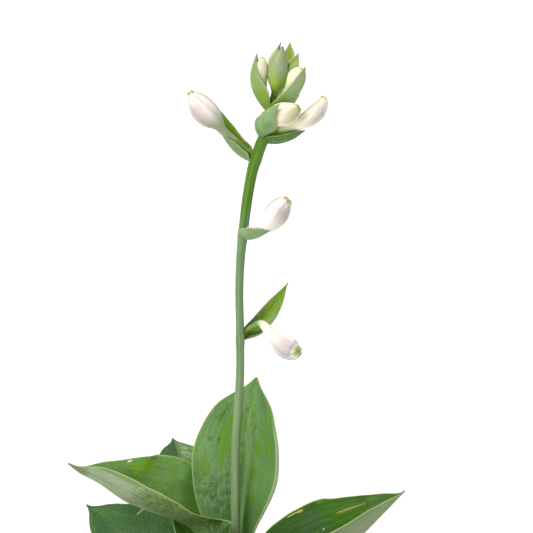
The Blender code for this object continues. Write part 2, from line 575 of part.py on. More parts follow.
def crown_solid(name, more):
    """The crown and its roots as one body. more grows it, for the hole that it leaves in the soil."""
    top = CROWN_TOP + (0.010 if more else 0.0)
    bottom = CROWN_TOP - CROWN_DEPTH
    profile = [
        (0.0, top), (CROWN_RADIUS + more, top), (CROWN_RADIUS + more, CROWN_TOP - 0.010),
        (0.80 * CROWN_RADIUS + more, CROWN_TOP - 0.022), (0.45 * CROWN_RADIUS + more, bottom - more),
        (0.0, bottom - more),
    ]
    crown = turned_solid(name, profile, 20, CROWN_MATERIAL)
    helpers = bpy.data.collections.new(name + "_roots")
    bpy.context.scene.collection.children.link(helpers)
    for number in range(ROOT_COUNT):
        azimuth = 2 * math.pi * (number + 0.35 * math.sin(2.1 * number)) / ROOT_COUNT
        out = np.array([math.cos(azimuth), math.sin(azimuth)])
        reach = 0.034 + 0.004 * math.sin(3.7 * number)
        line = [
            (*(0.006 * out), CROWN_TOP - 0.020),
            (*(0.5 * reach * out), CROWN_TOP - 0.030 - 0.003 * (number % 2)),
            (*(0.9 * reach * out), CROWN_TOP - 0.050),
            (*(reach * out), CROWN_TOP - 0.078 - 0.004 * (number % 3) - 1.5 * more),
        ]
        radii = np.array([0.0024, 0.0021, 0.0017, 0.0013, 0.0009]) + more
        root = tube_solid(f"{name}_root_{number}", curve_through(line, np.linspace(0, 1, 5)), radii, 6,
                          CROWN_MATERIAL)
        bpy.context.scene.collection.objects.unlink(root)
        helpers.objects.link(root)
    join = crown.modifiers.new("roots", "BOOLEAN")
    join.operation = "UNION"
    join.operand_type = "COLLECTION"
    join.solver = "EXACT"
    join.collection = helpers
    apply_modifiers(crown)
    for root in list(helpers.objects):
        bpy.data.objects.remove(root)
    bpy.data.collections.remove(helpers)
    return crown


def apply_modifiers(body):
    """Replaces the body's mesh with what its modifiers make of it."""
    graph = bpy.context.evaluated_depsgraph_get()
    made = bpy.data.meshes.new_from_object(body.evaluated_get(graph))
    body.modifiers.clear()
    body.data = made


def pot_wall(height, inset):
    """The outer radius of the pot's body at a height, less the inset."""
    top = POT_RIM_RADIUS - POT_RIM_LIP
    return POT_FOOT_RADIUS + (top - POT_FOOT_RADIUS) * height / POT_HEIGHT - inset


def pot_solid():
    """A tapered pot with a plain rim band and three drain holes."""
    soft = POT_EDGE_ROUND
    band = POT_HEIGHT - POT_RIM_HEIGHT
    profile = [
        (0.0, 0.0),
        (POT_FOOT_RADIUS - soft, 0.0),
        (pot_wall(soft, 0.0), soft),
        (pot_wall(band, 0.0), band),
        (POT_RIM_RADIUS - 1.4 * soft, band),
        (POT_RIM_RADIUS - 0.4 * soft, band + soft),
        (POT_RIM_RADIUS, POT_HEIGHT - soft),
        (POT_RIM_RADIUS - soft, POT_HEIGHT),
        (pot_wall(POT_HEIGHT, POT_WALL) + soft, POT_HEIGHT),
        (pot_wall(POT_HEIGHT, POT_WALL), POT_HEIGHT - soft),
        (pot_wall(POT_FLOOR + 2 * soft, POT_WALL), POT_FLOOR + 2 * soft),
        (pot_wall(POT_FLOOR, POT_WALL) - 2 * soft, POT_FLOOR),
        (0.0, POT_FLOOR),
    ]
    pot = turned_solid("pot", profile, 44, CLAY_MATERIAL)
    for number in range(DRAIN_COUNT):
        azimuth = 2 * math.pi * number / DRAIN_COUNT + math.radians(90)
        centre = (DRAIN_RING * math.cos(azimuth), DRAIN_RING * math.sin(azimuth))
        drain = tube_solid(
            f"drain_{number}", [(*centre, -0.01), (*centre, POT_FLOOR + 0.01)], [DRAIN_RADIUS] * 2, 16,
            CLAY_MATERIAL,
        )
        cut(pot, drain)
    return pot


def soil_solid():
    """The soil: it fills the pot a gap clear of the wall, and its top is gently lumpy."""
    inner = POT_WALL + SOIL_GAP
    bottom = POT_FLOOR + GAP
    soft = 2 * POT_EDGE_ROUND
    edge = pot_wall(SOIL_LEVEL, inner)
    profile = [
        (0.0, bottom),
        (pot_wall(POT_FLOOR, inner) - soft, bottom),
        (pot_wall(bottom + soft, inner), bottom + soft),
        (edge, SOIL_LEVEL - 0.002),
        (0.93 * edge, SOIL_LEVEL),
        (0.80 * edge, SOIL_LEVEL),
        (0.64 * edge, SOIL_LEVEL),
        (0.48 * edge, SOIL_LEVEL),
        (0.0, SOIL_LEVEL),
    ]
    soil = turned_solid("soil", profile, 24, SOIL_MATERIAL)
    lumps = np.random.default_rng(7)
    for vertex in soil.data.vertices:
        radius = math.hypot(vertex.co.x, vertex.co.y)
        if vertex.co.z > SOIL_LEVEL - 0.001 and radius > 0.45 * edge:
            vertex.co.z += SOIL_LUMP * lumps.uniform(-1.0, 0.6)
    hole = crown_solid("crown_hole", GAP)
    cut(soil, hole)
    return soil


for old in list(bpy.data.objects):
    bpy.data.objects.remove(old)

LEAF_MATERIAL = finish("leaf", LEAF_GREEN, 0.42)
BRACT_MATERIAL = finish("bract", BRACT_GREEN, 0.50)
SCAPE_MATERIAL = finish("scape", SCAPE_GREEN, 0.45)
BUD_MATERIAL = finish("bud", BUD_WHITE, 0.50)
YOUNG_MATERIAL = finish("young_bud", YOUNG_BUD, 0.50)
CLAY_MATERIAL = finish("clay", CLAY, 0.85)
SOIL_MATERIAL = finish("soil", SOIL_BROWN, 0.95)
CROWN_MATERIAL = finish("crown", CROWN_CREAM, 0.70)

pot_solid()
soil_solid()
crown_solid("crown", 0.0)
scape_solid("scape", 0.0)
scape_seat = scape_solid("scape_seat", GAP)
for leaf_name, leaf_shape in LEAVES.items():
    leaf(leaf_name, **leaf_shape)
for flower_name, flower_shape in FLOWERS.items():
    for piece in flower(flower_name, **flower_shape):
        cut(piece, scape_seat)
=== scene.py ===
# %% [markdown]
# # A potted hosta coming into flower
# A hosta is a clump of broad folded leaves round one upright flower stem, the scape. The packed
# solids already stand in their places at their real size. This lesson gives each of them the fine
# form and the finish of the living plant: sunken veins, waxy bloom, closed petals, papery sheaths,
# loose soil and a turned clay pot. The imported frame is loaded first, and nothing in it is moved.

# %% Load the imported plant
import math

import bmesh
import bpy
import numpy as np
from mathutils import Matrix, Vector, noise


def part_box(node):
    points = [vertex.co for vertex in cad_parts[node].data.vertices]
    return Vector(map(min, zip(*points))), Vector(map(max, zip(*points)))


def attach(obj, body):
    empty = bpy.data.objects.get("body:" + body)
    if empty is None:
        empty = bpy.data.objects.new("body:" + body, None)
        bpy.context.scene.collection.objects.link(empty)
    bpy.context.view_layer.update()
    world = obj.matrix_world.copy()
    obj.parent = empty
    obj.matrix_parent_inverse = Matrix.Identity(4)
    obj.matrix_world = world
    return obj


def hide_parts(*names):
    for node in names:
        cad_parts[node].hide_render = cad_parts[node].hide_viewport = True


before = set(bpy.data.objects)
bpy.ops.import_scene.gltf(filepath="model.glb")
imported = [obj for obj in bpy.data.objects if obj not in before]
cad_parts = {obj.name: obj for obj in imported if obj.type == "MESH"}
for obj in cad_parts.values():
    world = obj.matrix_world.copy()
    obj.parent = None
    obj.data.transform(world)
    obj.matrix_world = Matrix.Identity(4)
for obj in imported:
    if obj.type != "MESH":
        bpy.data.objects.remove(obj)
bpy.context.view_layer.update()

# %% [markdown]
# ## Curves that stems and midribs follow
# A stem or midrib is known at a few points. A curve that passes smoothly through all of them, read
# at even shares of its length, is the spine that everything else is built round. The same small
# helpers serve leaves, bracts, buds and the scape, so they come first.

# %% Curves and soft steps
def soft_step(low, high, x):
    share = np.clip((x - low) / (high - low), 0.0, 1.0)
    return share * share * (3.0 - 2.0 * share)


def unit(vectors):
    return vectors / np.linalg.norm(vectors, axis=-1, keepdims=True)


def curve_through(points, shares):
    """A smooth curve through the points, read at shares of its length from 0 to 1."""
    points = np.asarray(points, float)
    padded = np.vstack([2 * points[0] - points[1], points, 2 * points[-1] - points[-2]])
    steps = np.linspace(0.0, 1.0, 48, endpoint=False)[:, None]
    pieces = []
    for a, b, c, d in zip(padded, padded[1:], padded[2:], padded[3:]):
        pieces.append(
            0.5 * (2 * b + (c - a) * steps + (2 * a - 5 * b + 4 * c - d) * steps**2
                   + (3 * b - a - 3 * c + d) * steps**3)
        )
    fine = np.vstack([*pieces, points[-1:]])
    along = np.concatenate([[0.0], np.cumsum(np.linalg.norm(np.diff(fine, axis=0), axis=1))])
    wanted = np.asarray(shares) * along[-1]
    return np.stack([np.interp(wanted, along, fine[:, axis]) for axis in range(3)], axis=1)


def read_evenly(values, shares):
    """Rows of numbers that lie evenly from share 0 to share 1, read at the shares and eased."""
    values = np.asarray(values, float)
    places = np.linspace(0.0, 1.0, len(values))
    reach = np.linspace(-0.03, 0.03, 5)[:, None]
    near = np.clip(np.asarray(shares)[None, :] + reach, 0.0, 1.0)
    return np.stack([np.interp(near, places, column).mean(axis=0) for column in values.T], axis=1)


def ripple(x, seed, waves):
    """A smooth irregular wave of about +-1 along x: a few sines whose phases come from the seed."""
    draw = np.random.default_rng(seed)
    total = np.zeros_like(np.asarray(x, float))
    for size, rate in ((0.5, 1.0), (0.3, 1.7), (0.2, 2.9)):
        total = total + size * np.sin(2 * math.pi * (waves * rate * x + draw.uniform()))
    return total


# %% [markdown]
# ## Turning arrays of points into pieces
# Every piece here is a grid of points worked out with numpy, then handed to Blender as one mesh.
# Each point also keeps its place on the piece, such as how far along and how far across a leaf it
# lies, in an attribute named place. The finishes read it, so veins and marks follow the leaf
# however it bends. The buds keep a second one, petal, which says how near a point is to the edges
# of its petals. Each piece rides with the plant and stands for its solid.

# %% Make a piece from points
def placed(name, data):
    """A new object in the scene."""
    made = bpy.data.objects.new(name, data)
    bpy.context.scene.collection.objects.link(made)
    return made


def piece(name, points, faces, finish, slot, nodes=(), sharp=55, **kept):
    """One mesh. kept holds the attributes that its points keep, by name."""
    points = np.asarray(points)
    data = bpy.data.meshes.new(name)
    data.from_pydata(points.tolist(), [], faces)
    for attribute, values in kept.items():
        written = data.attributes.new(attribute, "FLOAT_VECTOR", "POINT")
        written.data.foreach_set("vector", np.asarray(values, np.float32).ravel())
    data.materials.append(finish)
    data.shade_smooth()
    data.set_sharp_from_angle(angle=math.radians(sharp))
    made = placed(name, data)
    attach(made, "root")
    if nodes:
        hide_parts(*nodes)
        low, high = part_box(nodes[0])
        past = max(*(np.array(low) - points.min(0)), *(points.max(0) - np.array(high)))
        print(name, "past the box of its solid", round(1000 * float(past), 2), "mm")
    return made


def place_of(shape, *values):
    """Three numbers for each point of a grid."""
    return np.stack([np.broadcast_to(value, shape) for value in values], axis=2)


def grid_faces(rows, columns, closed):
    """Quads between neighbouring rows. A closed grid also joins its last column to its first."""
    faces = []
    for row in range(rows - 1):
        here, above = row * columns, (row + 1) * columns
        for column in range(columns if closed else columns - 1):
            after = (column + 1) % columns
            faces.append((here + column, here + after, above + after, above + column))
    return faces


def even_turns(count):
    return np.arange(count) * 2 * math.pi / count


def closed_rings(rings, ends):
    """Points and faces of a row of rings, closed by a point at either end."""
    rows, columns = rings.shape[:2]
    faces = grid_faces(rows, columns, True)
    start, last = rows * columns, (rows - 1) * columns
    for column in range(columns):
        after = (column + 1) % columns
        faces += [(start, after, column), (start + 1, last + column, last + after)]
    return np.vstack([rings.reshape(-1, 3), ends]), faces


# %% [markdown]
# ## Writing shader maths as Python
# A finish is a tree of nodes, and trees are hard to read. Here each socket is wrapped, so that
# adding, multiplying or writing 1 - mask adds the node that does it. Numbers go through Math,
# vectors through Vector Math and colours through Mix. All other nodes come from one method, node().
# A finish is painted coat over coat: paint() lays a colour on where its mask is 1.

# %% A socket that can be calculated with
class Signal:
    def __init__(self, finish, socket):
        self.finish = finish
        self.socket = socket

    def combine(self, other, operation, turned=False):
        pair = (other, self) if turned else (self, other)
        kinds = {one.socket.type for one in pair if isinstance(one, Signal)}
        if "RGBA" in kinds:
            first, second = (one if isinstance(one, Signal) else as_colour(one) for one in pair)
            how = dict(data_type="RGBA", blend_type=operation, clamp_result=False)
            return self.finish.node("ShaderNodeMix", how, {0: 1.0, 6: first, 7: second}, 2)
        if "VECTOR" in kinds:
            first, second = (one if isinstance(one, Signal) else as_vector(one) for one in pair)
            settings = dict(operation=operation)
            return self.finish.node("ShaderNodeVectorMath", settings, {0: first, 1: second})
        return self.finish.node("ShaderNodeMath", dict(operation=operation), {0: pair[0], 1: pair[1]})

    def __abs__(self):
        return self.finish.node("ShaderNodeMath", dict(operation="ABSOLUTE"), {0: self})

    def fract(self):
        return self.finish.node("ShaderNodeMath", dict(operation="FRACT"), {0: self})

    def step(self, low, high):
        """0 below low, 1 above high and a soft rise between. It falls where low is the larger."""
        return self.finish.node(
            "ShaderNodeMapRange", dict(interpolation_type="SMOOTHSTEP"),
            {"Value": self, "From Min": low, "From Max": high},
        )


def add_sign(method, operation, turned=False):
    """Teaches sockets one more sign, so that it can stand between two of them."""
    setattr(Signal, method, lambda self, other: self.combine(other, operation, turned))


for sign, operation in (("add", "ADD"), ("sub", "SUBTRACT"), ("mul", "MULTIPLY")):
    add_sign(f"__{sign}__", operation)
    add_sign(f"__r{sign}__", operation, True)
add_sign("__truediv__", "DIVIDE")
add_sign("__pow__", "POWER")
add_sign("larger", "MAXIMUM")


def as_colour(value):
    return (value, value, value, 1.0) if isinstance(value, (int, float)) else (*value, 1.0)


def as_vector(value):
    return (value, value, value) if isinstance(value, (int, float)) else tuple(value)


# %% A finish under construction
RELIEF_STRENGTH = 0.8


class Finish:
    def __init__(self, name, **fixed):
        self.material = bpy.data.materials.new(name)
        self.material.use_nodes = True
        self.tree = self.material.node_tree
        self.shader = self.tree.nodes["Principled BSDF"]
        for socket, value in fixed.items():
            self.shader.inputs[socket.replace("_", " ")].default_value = value

    def node(self, kind, settings, sockets, output=0):
        made = self.tree.nodes.new(kind)
        for name, value in settings.items():
            setattr(made, name, value)
        for name, value in sockets.items():
            if isinstance(value, Signal):
                self.tree.links.new(value.socket, made.inputs[name])
            else:
                made.inputs[name].default_value = value
        return Signal(self, made.outputs[output])

    def kept(self, attribute):
        """The three numbers that each point keeps in an attribute."""
        return self.parts(self.node("ShaderNodeAttribute", dict(attribute_name=attribute), {}, 1))

    def position(self):
        return self.node("ShaderNodeTexCoord", {}, {}, 3)

    def parts(self, vector):
        split = self.node("ShaderNodeSeparateXYZ", {}, {0: vector})
        return [Signal(self, socket) for socket in split.socket.node.outputs]

    def vector(self, x, y, z):
        return self.node("ShaderNodeCombineXYZ", {}, {0: x, 1: y, 2: z})

    def clouds(self, at, scale, detail=3.0, roughness=0.5):
        sockets = {"Vector": at, "Scale": scale, "Detail": detail, "Roughness": roughness}
        return self.node("ShaderNodeTexNoise", {}, sockets)

    def patches(self, x, y, size, seed, detail=3.0, roughness=0.5):
        """Clouds of a size along x and along y."""
        return self.clouds(self.vector(x / size[0], y / size[1], seed), 1.0, detail, roughness)

    def cells(self, at, scale):
        return self.node("ShaderNodeTexVoronoi", {}, {"Vector": at, "Scale": scale})

    def blend(self, first, second, share):
        first, second = (one if isinstance(one, Signal) else as_colour(one) for one in (first, second))
        return self.node("ShaderNodeMix", dict(data_type="RGBA"), {0: share, 6: first, 7: second}, 2)

    def paint(self, colour, share):
        """Lays a colour over what is painted so far."""
        self.coat = self.blend(self.coat, colour, share)

    def finish(self, roughness, height=None, depth=0.0002):
        """Feeds the shader, with height as a relief that is depth metres deep."""
        fed = {"Base Color": self.coat, "Roughness": roughness}
        if height is not None:
            how = {"Height": height, "Distance": depth, "Strength": RELIEF_STRENGTH}
            fed["Normal"] = self.node("ShaderNodeBump", {}, how)
        for name, signal in fed.items():
            self.tree.links.new(signal.socket, self.shader.inputs[name])
        print("finish", self.material.name, "has", len(self.tree.nodes), "nodes")
        return self.material


# %% [markdown]
# ## The blade: one form for leaves and bracts
# A hosta leaf is a channelled stalk that opens into a folded, egg-shaped blade, drawn out to a
# short point. Its main veins run from base to tip side by side and sink into the upper side, so the
# blade between them is softly ribbed. A plane with a cloth or bend modifier could give the fold, but
# not veins that converge. So the blade is a grid: rows follow the midrib and columns follow the
# veins. Each half rises from the midrib by its fold angle, and its width follows an outline formula.
# Where a half departs from that, nudges say so: for the left half (-1) or the right one (1), rows of
# a share of the blade's length and the mm in x, y and z by which its margin moves there.

# %% Outline and sizes of a blade
LEAF_THICKNESS = 0.0007
BRACT_THICKNESS = 0.0006
STALK_HALF_WIDTH = 0.0034
STALK_THICKNESS = 0.002
TIP_HALF_WIDTH = 0.0004
RIB_DEPTH = 0.0004
RIBS_EACH_SIDE = 3
MIDRIB_SHARE = 0.12
STALK_FOLDS = (2, 80)
STALK_TO_BLADE = (-0.05, 0.22)
STALK_WIDTH_FADE = 0.35
FOOT_WIDTH_FADE = 0.45
VEINS_EACH_SIDE = 8
VEIN_DEPTH = 0.00006
VEIN_BREADTH = 0.17
QUILT_DEPTH = 0.35
KEEL_OVER, KEEL_UNDER = 0.25, 1.3
THINNER_AT_MARGIN = 0.45


def blade_outline(from_tip, widest, to_tip, to_base, cusp):
    """Half width of a blade as a share, from its tip (0) to its base (1). cusp draws out the tip."""
    bend = math.log(0.5) / math.log(widest)
    swell = np.sin(math.pi * np.clip(from_tip, 0.0, 1.0) ** bend).clip(0.0)
    body = np.where(from_tip < widest, swell**to_tip, swell**to_base)
    taken, length = cusp
    return body * (1.0 - taken * np.exp(-((from_tip / length) ** 2.4)))


# %% The blade's surface
def blade_sheet(
    line, face, half_width, outline, folds, rows, columns, thickness, seed,
    wave=(0.0, 1.0, 0.0), stalk=0.0, foot=0.0, uneven=(0.0, 0.0, 1.0), cusp=(0.55, 0.08), curl=0.0003,
    veined=1.0, keeled=1.0, nudges=(),
):
    """A blade's middle surface, its depth over and under that, and each point's place on it."""
    stalk_rows = round(rows * stalk) if stalk else 0
    turns = np.linspace(0.0, 1.0, rows + 1)
    blade_shares = stalk + (1.0 - stalk) * (0.55 * turns + 0.45 * np.sin(0.5 * math.pi * turns))
    shares = np.concatenate([np.linspace(0.0, stalk, stalk_rows, endpoint=False), blade_shares])
    centre = curve_through(line, shares)
    tangent = unit(np.gradient(centre, shares, axis=0))
    facing = read_evenly(face, shares)
    facing = unit(facing - tangent * np.sum(facing * tangent, axis=1, keepdims=True))
    side = np.cross(tangent, facing)

    past_stalk = (shares - stalk) / (1.0 - stalk)
    in_blade = np.clip(past_stalk, 0.0, 1.0)
    is_blade = soft_step(*STALK_TO_BLADE, past_stalk) if stalk else np.ones_like(shares)
    width = half_width * np.where(shares < stalk, 0.0, blade_outline(1.0 - in_blade, *outline, cusp))
    width += TIP_HALF_WIDTH * (0.4 if stalk else 0.6)
    width += STALK_HALF_WIDTH * (1.0 - soft_step(0.0, STALK_WIDTH_FADE, in_blade)) * (stalk > 0.0)
    width += foot * half_width * (1.0 - soft_step(0.0, FOOT_WIDTH_FADE, in_blade))
    blade_folds = np.radians(read_evenly(folds, in_blade))
    stalk_folds = np.radians(STALK_FOLDS)
    mid_angle, margin_angle = (stalk_folds + (blade_folds - stalk_folds) * is_blade[:, None]).T

    across = np.linspace(-1.0, 1.0, columns + 1)
    reach = np.abs(across)[None, :]
    bend = (margin_angle - mid_angle)[:, None]
    bend = np.where(np.abs(bend) < 1e-4, 1e-4, bend)
    start = mid_angle[:, None]
    narrowing, full_until, gone_at = uneven
    near_stalk = is_blade * (1.0 - soft_step(full_until, gone_at, in_blade))
    width = width[:, None] * (1.0 - narrowing * np.sign(across)[None, :] * near_stalk[:, None])
    sideways = width * (np.sin(start + bend * reach) - np.sin(start)) / bend
    lift = width * (np.cos(start) - np.cos(start + bend * reach)) / bend
    height, waves, phase = wave
    swing_angle = 2 * math.pi * (waves * shares[:, None] + phase)
    swing = height * np.sin(swing_angle + 1.3 * (across[None, :] > 0))
    middle = np.sin(math.pi * in_blade)
    lift = lift + swing * reach**2 * (is_blade * middle**0.5)[:, None]
    small = np.stack([ripple(shares, seed, 5.0), ripple(shares, seed + 1, 5.0)], axis=1)
    small = np.where(across[None, :] < 0, small[:, :1], small[:, 1:])
    lift = lift + curl * small * reach**5 * (is_blade * middle**0.4)[:, None]
    if stalk:
        ribs = np.cos(2 * math.pi * RIBS_EACH_SIDE * reach)
        lift = lift + 0.25 * RIB_DEPTH * ribs * (middle**0.7 * is_blade)[:, None]
    lane = reach * VEINS_EACH_SIDE
    from_vein = np.abs((lane + 0.5) % 1.0 - 0.5)
    vein = np.exp(-((from_vein / VEIN_BREADTH) ** 2)) * (reach < 0.97)
    grown = (is_blade * middle**0.6)[:, None]
    quilt = QUILT_DEPTH * ripple(in_blade[:, None] * 1.6 + lane * 0.37, seed + 5, 9.0)
    relief = (0.45 - vein + quilt * (1.0 - vein)) * grown
    lift = lift + VEIN_DEPTH * relief * veined * (2.0 if stalk else 0.7)

    surface = (
        centre[:, None, :]
        + side[:, None, :] * (np.sign(across)[None, :] * sideways)[:, :, None]
        + facing[:, None, :] * lift[:, :, None]
    )
    for half, steps in nudges:
        at = [step[0] for step in steps]
        by = np.stack([
            np.interp(np.clip(in_blade[:, None] + np.linspace(-0.04, 0.04, 5), 0, 1), at, column).mean(1)
            for column in np.array([step[1:] for step in steps]).T / 1000
        ], axis=1)
        pull = np.where(across * half > 0, np.abs(across) ** 1.3, 0.0)
        surface = surface + by[:, None, :] * pull[None, :, None]
    depth = (thickness + (STALK_THICKNESS - thickness) * (1.0 - is_blade))[:, None]
    thin = 1.0 - THINNER_AT_MARGIN * reach**10 * is_blade[:, None]
    keel = keeled * np.exp(-((reach / MIDRIB_SHARE) ** 2)) * (1.0 - in_blade)[:, None] * thickness
    over = 0.5 * depth * thin - KEEL_OVER * keel
    under = 0.5 * depth * thin + KEEL_UNDER * keel
    place = place_of(surface.shape[:2], past_stalk[:, None], across[None, :], 0.0)
    return surface, over, under, place


# %% Close the two sides of a blade
def blade_piece(name, surface, over, under, place, finish, slot, nodes, floor=None):
    """A closed blade. place keeps +1 on its upper side and -1 on its underside."""
    rows, columns = surface.shape[:2]
    normal = unit(np.cross(np.gradient(surface, axis=1), np.gradient(surface, axis=0)))
    upper = surface + normal * over[:, :, None]
    lower = surface - normal * under[:, :, None]
    points = np.vstack([upper.reshape(-1, 3), lower.reshape(-1, 3)])
    if floor is not None:
        points[:, 2] = np.maximum(points[:, 2], floor)
    below = rows * columns
    faces = grid_faces(rows, columns, False)
    faces += [tuple(below + corner for corner in reversed(face)) for face in faces]
    rim = list(range(columns))
    rim += [row * columns + columns - 1 for row in range(1, rows)]
    rim += [(rows - 1) * columns + column for column in range(columns - 2, -1, -1)]
    rim += [row * columns for row in range(rows - 2, 0, -1)]
    faces += [(b, a, below + a, below + b) for a, b in zip(rim, rim[1:] + rim[:1])]
    kept = np.vstack([(place + (0.0, 0.0, side)).reshape(-1, 3) for side in (1.0, -1.0)])
    return piece(name, points, faces, finish, slot, nodes, place=kept)


# %% [markdown]
# ## Finish of the leaves
# The blade carries a grey-green waxy bloom. Where it has been rubbed, yellow-green streaks show
# between the veins. The underside is paler and greyer, the margin is a fine pale line, and a few
# scars, spots and drop rings mark the older leaves, each ring with a painted highlight in its
# middle. An image could be laid on each leaf, but it would stretch in the folds. So the colours are
# worked out from the place along and across the blade, in millimetres, which keeps every streak
# parallel to the veins. A place in the settings is a share along and across the blade. One list
# holds soft areas: mostly painted shade and painted light, in the folds, along the midrib valley and
# beside neighbouring leaves, and a few paler or greyer patches of the leaf's own. Another holds
# ragged marks: mostly scars and patches, and also a painted shadow and a painted glint on a drop.
# Both give place, size, colour and strength, where a negative strength is on the underside. dapples
# are blotchy areas with a dark and a light colour, flecks are small dark spots with their length and
# breadth in mm, drops are rings by their radius. mottled is how strongly the bloom varies, and
# rolled turns one margin.

# %% Marks on a blade
BLOOM_GREEN = (0.15, 0.262, 0.1)
RUBBED_GREEN = (0.12, 0.252, 0.03)
DEEP_GREEN = (0.034, 0.098, 0.02)
UNDER_GREY = (0.3, 0.39, 0.24)
UNDER_GREEN = (0.12, 0.205, 0.07)
MARGIN_PALE = (0.42, 0.52, 0.18)
FLECK_GREEN = (0.095, 0.225, 0.01)


def mark(along, across, at, size, ragged, soft=0.25):
    """A mask round a place on the blade, 1 inside. size is its half length and half breadth."""
    share = ((along - at[0]) / size[0]) ** 2.0 + ((across - at[1]) / size[1]) ** 2.0
    return (share + ragged).step(1.0 + soft, 1.0 - soft)


# %% The leaf finish
def leaf_finish(
    name, wide, long, seed, bloom=BLOOM_GREEN, rubbed=RUBBED_GREEN, deep=DEEP_GREEN,
    under=UNDER_GREY, wear=0.5, marks_and_painted_light=(), spots=0.5, painted_light_shade_and_tones=(), drops=(), dapples=(), flecks=(),
    veined=1.0, rolled=False, mottled=1.0,
):
    """wide and long are the half width and length of the blade in mm."""
    leaf = Finish(
        name, IOR=1.42, Specular_IOR_Level=0.38, Subsurface_Weight=0.08, Subsurface_Scale=0.004,
        Subsurface_Radius=(0.4, 1.0, 0.2),
    )
    along, across, side = leaf.kept("place")
    reach = abs(across)
    x, y = across * wide, along * long
    upper = side.step(-0.3, 0.3)
    from_vein = abs((reach * VEINS_EACH_SIDE).fract() - 0.5)
    vein = from_vein.step(0.34, 0.5)
    fine_vein = abs((reach * VEINS_EACH_SIDE * 5.0).fract() - 0.5).step(0.25, 0.5)
    streaks = leaf.patches(x, y, (3.2, 22.0), seed, 4.0, 0.55)
    broad = leaf.patches(x, y, (17.0, 30.0), seed + 4.0)
    dabs = leaf.patches(x, y, (2.0, 3.6), seed + 9.0, 3.0, 0.6)
    grain = leaf.clouds(leaf.vector(x, y, side), 2.4, 2.0)
    fine = leaf.patches(x, y, (0.9, 1.8), seed + 12.0, 4.0, 0.65)
    worn = streaks * 0.75 + broad * 0.35 + (fine - 0.5) * 0.3
    worn = worn.step(0.645 - 0.12 * wear, 0.715 - 0.12 * wear)
    dim, pale = (tuple((1.0 + mottled * by) * part for part in bloom) for by in (-0.28, 0.27))
    leaf.coat = leaf.blend(bloom, dim, fine.step(0.5, 0.6) * 0.6)
    leaf.paint(pale, fine.step(0.5, 0.4) * 0.6)
    leaf.paint(dim, dabs.step(0.5, 0.6) * 0.2 * mottled)
    leaf.paint(rubbed, worn * 0.8)
    leaf.paint(deep, broad.step(0.56, 0.3) * 0.42)
    leaf.paint(deep, dabs.step(0.66, 0.74) * 0.7 * spots)
    leaf.paint(rubbed, dabs.step(0.36, 0.28) * 0.6)
    leaf.paint(deep, (vein * 0.22 + fine_vein * 0.12) * veined)
    leaf.paint(MARGIN_PALE, reach.step(0.05, 0.0) * along.step(1.0, 0.1) * 0.3)
    ring = leaf.cells(leaf.vector(x / 6.0, y / 6.0, seed + 2.0), 1.0)
    dried = leaf.patches(x, y, (14.0, 14.0), seed + 7.0).step(0.56, 0.62)
    dried = ring.step(0.1, 0.14) * ring.step(0.22, 0.17) * dried
    leaf.paint(rubbed, dried * 0.45)
    # Soft areas: mostly painted shade and painted light, a few the leaf's own paler or greyer patches.
    for place, size, tone, share in painted_light_shade_and_tones:
        leaf.paint(tone, mark(along, across, place, size, streaks - 0.5, 0.8) * share)
    back = leaf.blend(under, UNDER_GREEN, (broad * 0.6 + streaks * 0.5).step(0.5, 0.78) * 0.75)
    back = leaf.blend(back, deep, vein * 0.2 + fine_vein * 0.12)
    back = leaf.blend(back, MARGIN_PALE, reach.step(0.1, 0.0) * 0.45)
    leaf.coat = leaf.blend(back, leaf.coat, upper)
    # Ragged marks: mostly scars and patches; among them are a painted shadow and a painted glint on a drop.
    for place, size, tone, share, *edge in marks_and_painted_light:
        which = upper if share > 0.0 else 1.0 - upper
        ragged = (dabs - 0.5) * 3.0 + (streaks - 0.5) * 2.4 + (fine - 0.5) * 1.6
        ragged = ragged * (edge[0] if edge else 1.0)
        leaf.paint(tone, mark(along, across, place, size, ragged) * which * abs(share))
    for place, size, dark, light, share in dapples:
        which = upper if share > 0.0 else 1.0 - upper
        blots = leaf.patches(x, y, (3.4, 3.8), seed + 20.0, 2.0)
        area = mark(along, across, place, size, (fine - 0.5) * 2.0, 0.8) * which * abs(share)
        leaf.paint(light, blots.step(0.52, 0.58) * area * 0.5)
        leaf.paint(dark, blots.step(0.46, 0.38) * area * 0.55)
    for place, long_mm, wide_mm in flecks:
        share = ((y - place[0] * long) / long_mm) ** 2.0 + ((x - place[1] * wide) / wide_mm) ** 2.0
        inside = (share + (fine - 0.5) * 9.0 + (dabs - 0.5) * 6.0).step(1.6, 0.6)
        leaf.paint(FLECK_GREEN, inside * upper * 0.95)
    for place, radius in drops:
        apart = ((x - place[1] * wide) ** 2.0 + (y - place[0] * long) ** 2.0) ** 0.5
        rim = apart.step(radius - 0.7, radius - 0.2) * apart.step(radius + 0.4, radius)
        leaf.paint(deep, rim * upper * 0.55)
        # The lighter middle of each drop ring is a painted highlight.
        leaf.paint(rubbed, apart.step(radius - 0.4, radius - 1.0) * upper * 0.25)
    if rolled:
        strip = across.step(0.9, 0.92) * along.step(0.1, 0.2) * along.step(0.85, 0.7)
        leaf.paint((0.25, 0.29, 0.19), strip * 0.9)
        leaf.paint((0.34, 0.46, 0.15), strip * across.step(0.945, 0.93) * 0.9)
    rim = reach if not rolled else (across * -1.0).larger(across * along.step(0.55, 0.8))
    leaf.paint(MARGIN_PALE, rim.step(0.972, 0.992) * along.step(-0.05, 0.1) * 0.75)
    stalk = along.step(0.06, -0.04)
    stalk_green = leaf.blend((0.2, 0.31, 0.1), (0.3, 0.36, 0.2), streaks)
    leaf.paint(stalk_green, stalk * 0.8)
    roughness = 0.4 + grain * 0.16 - worn * 0.06 + dried * 0.1
    height = fine_vein * -0.2 + vein * -0.3 + grain * 0.22 + dabs * 0.22
    return leaf.finish(roughness, height, 0.00016)


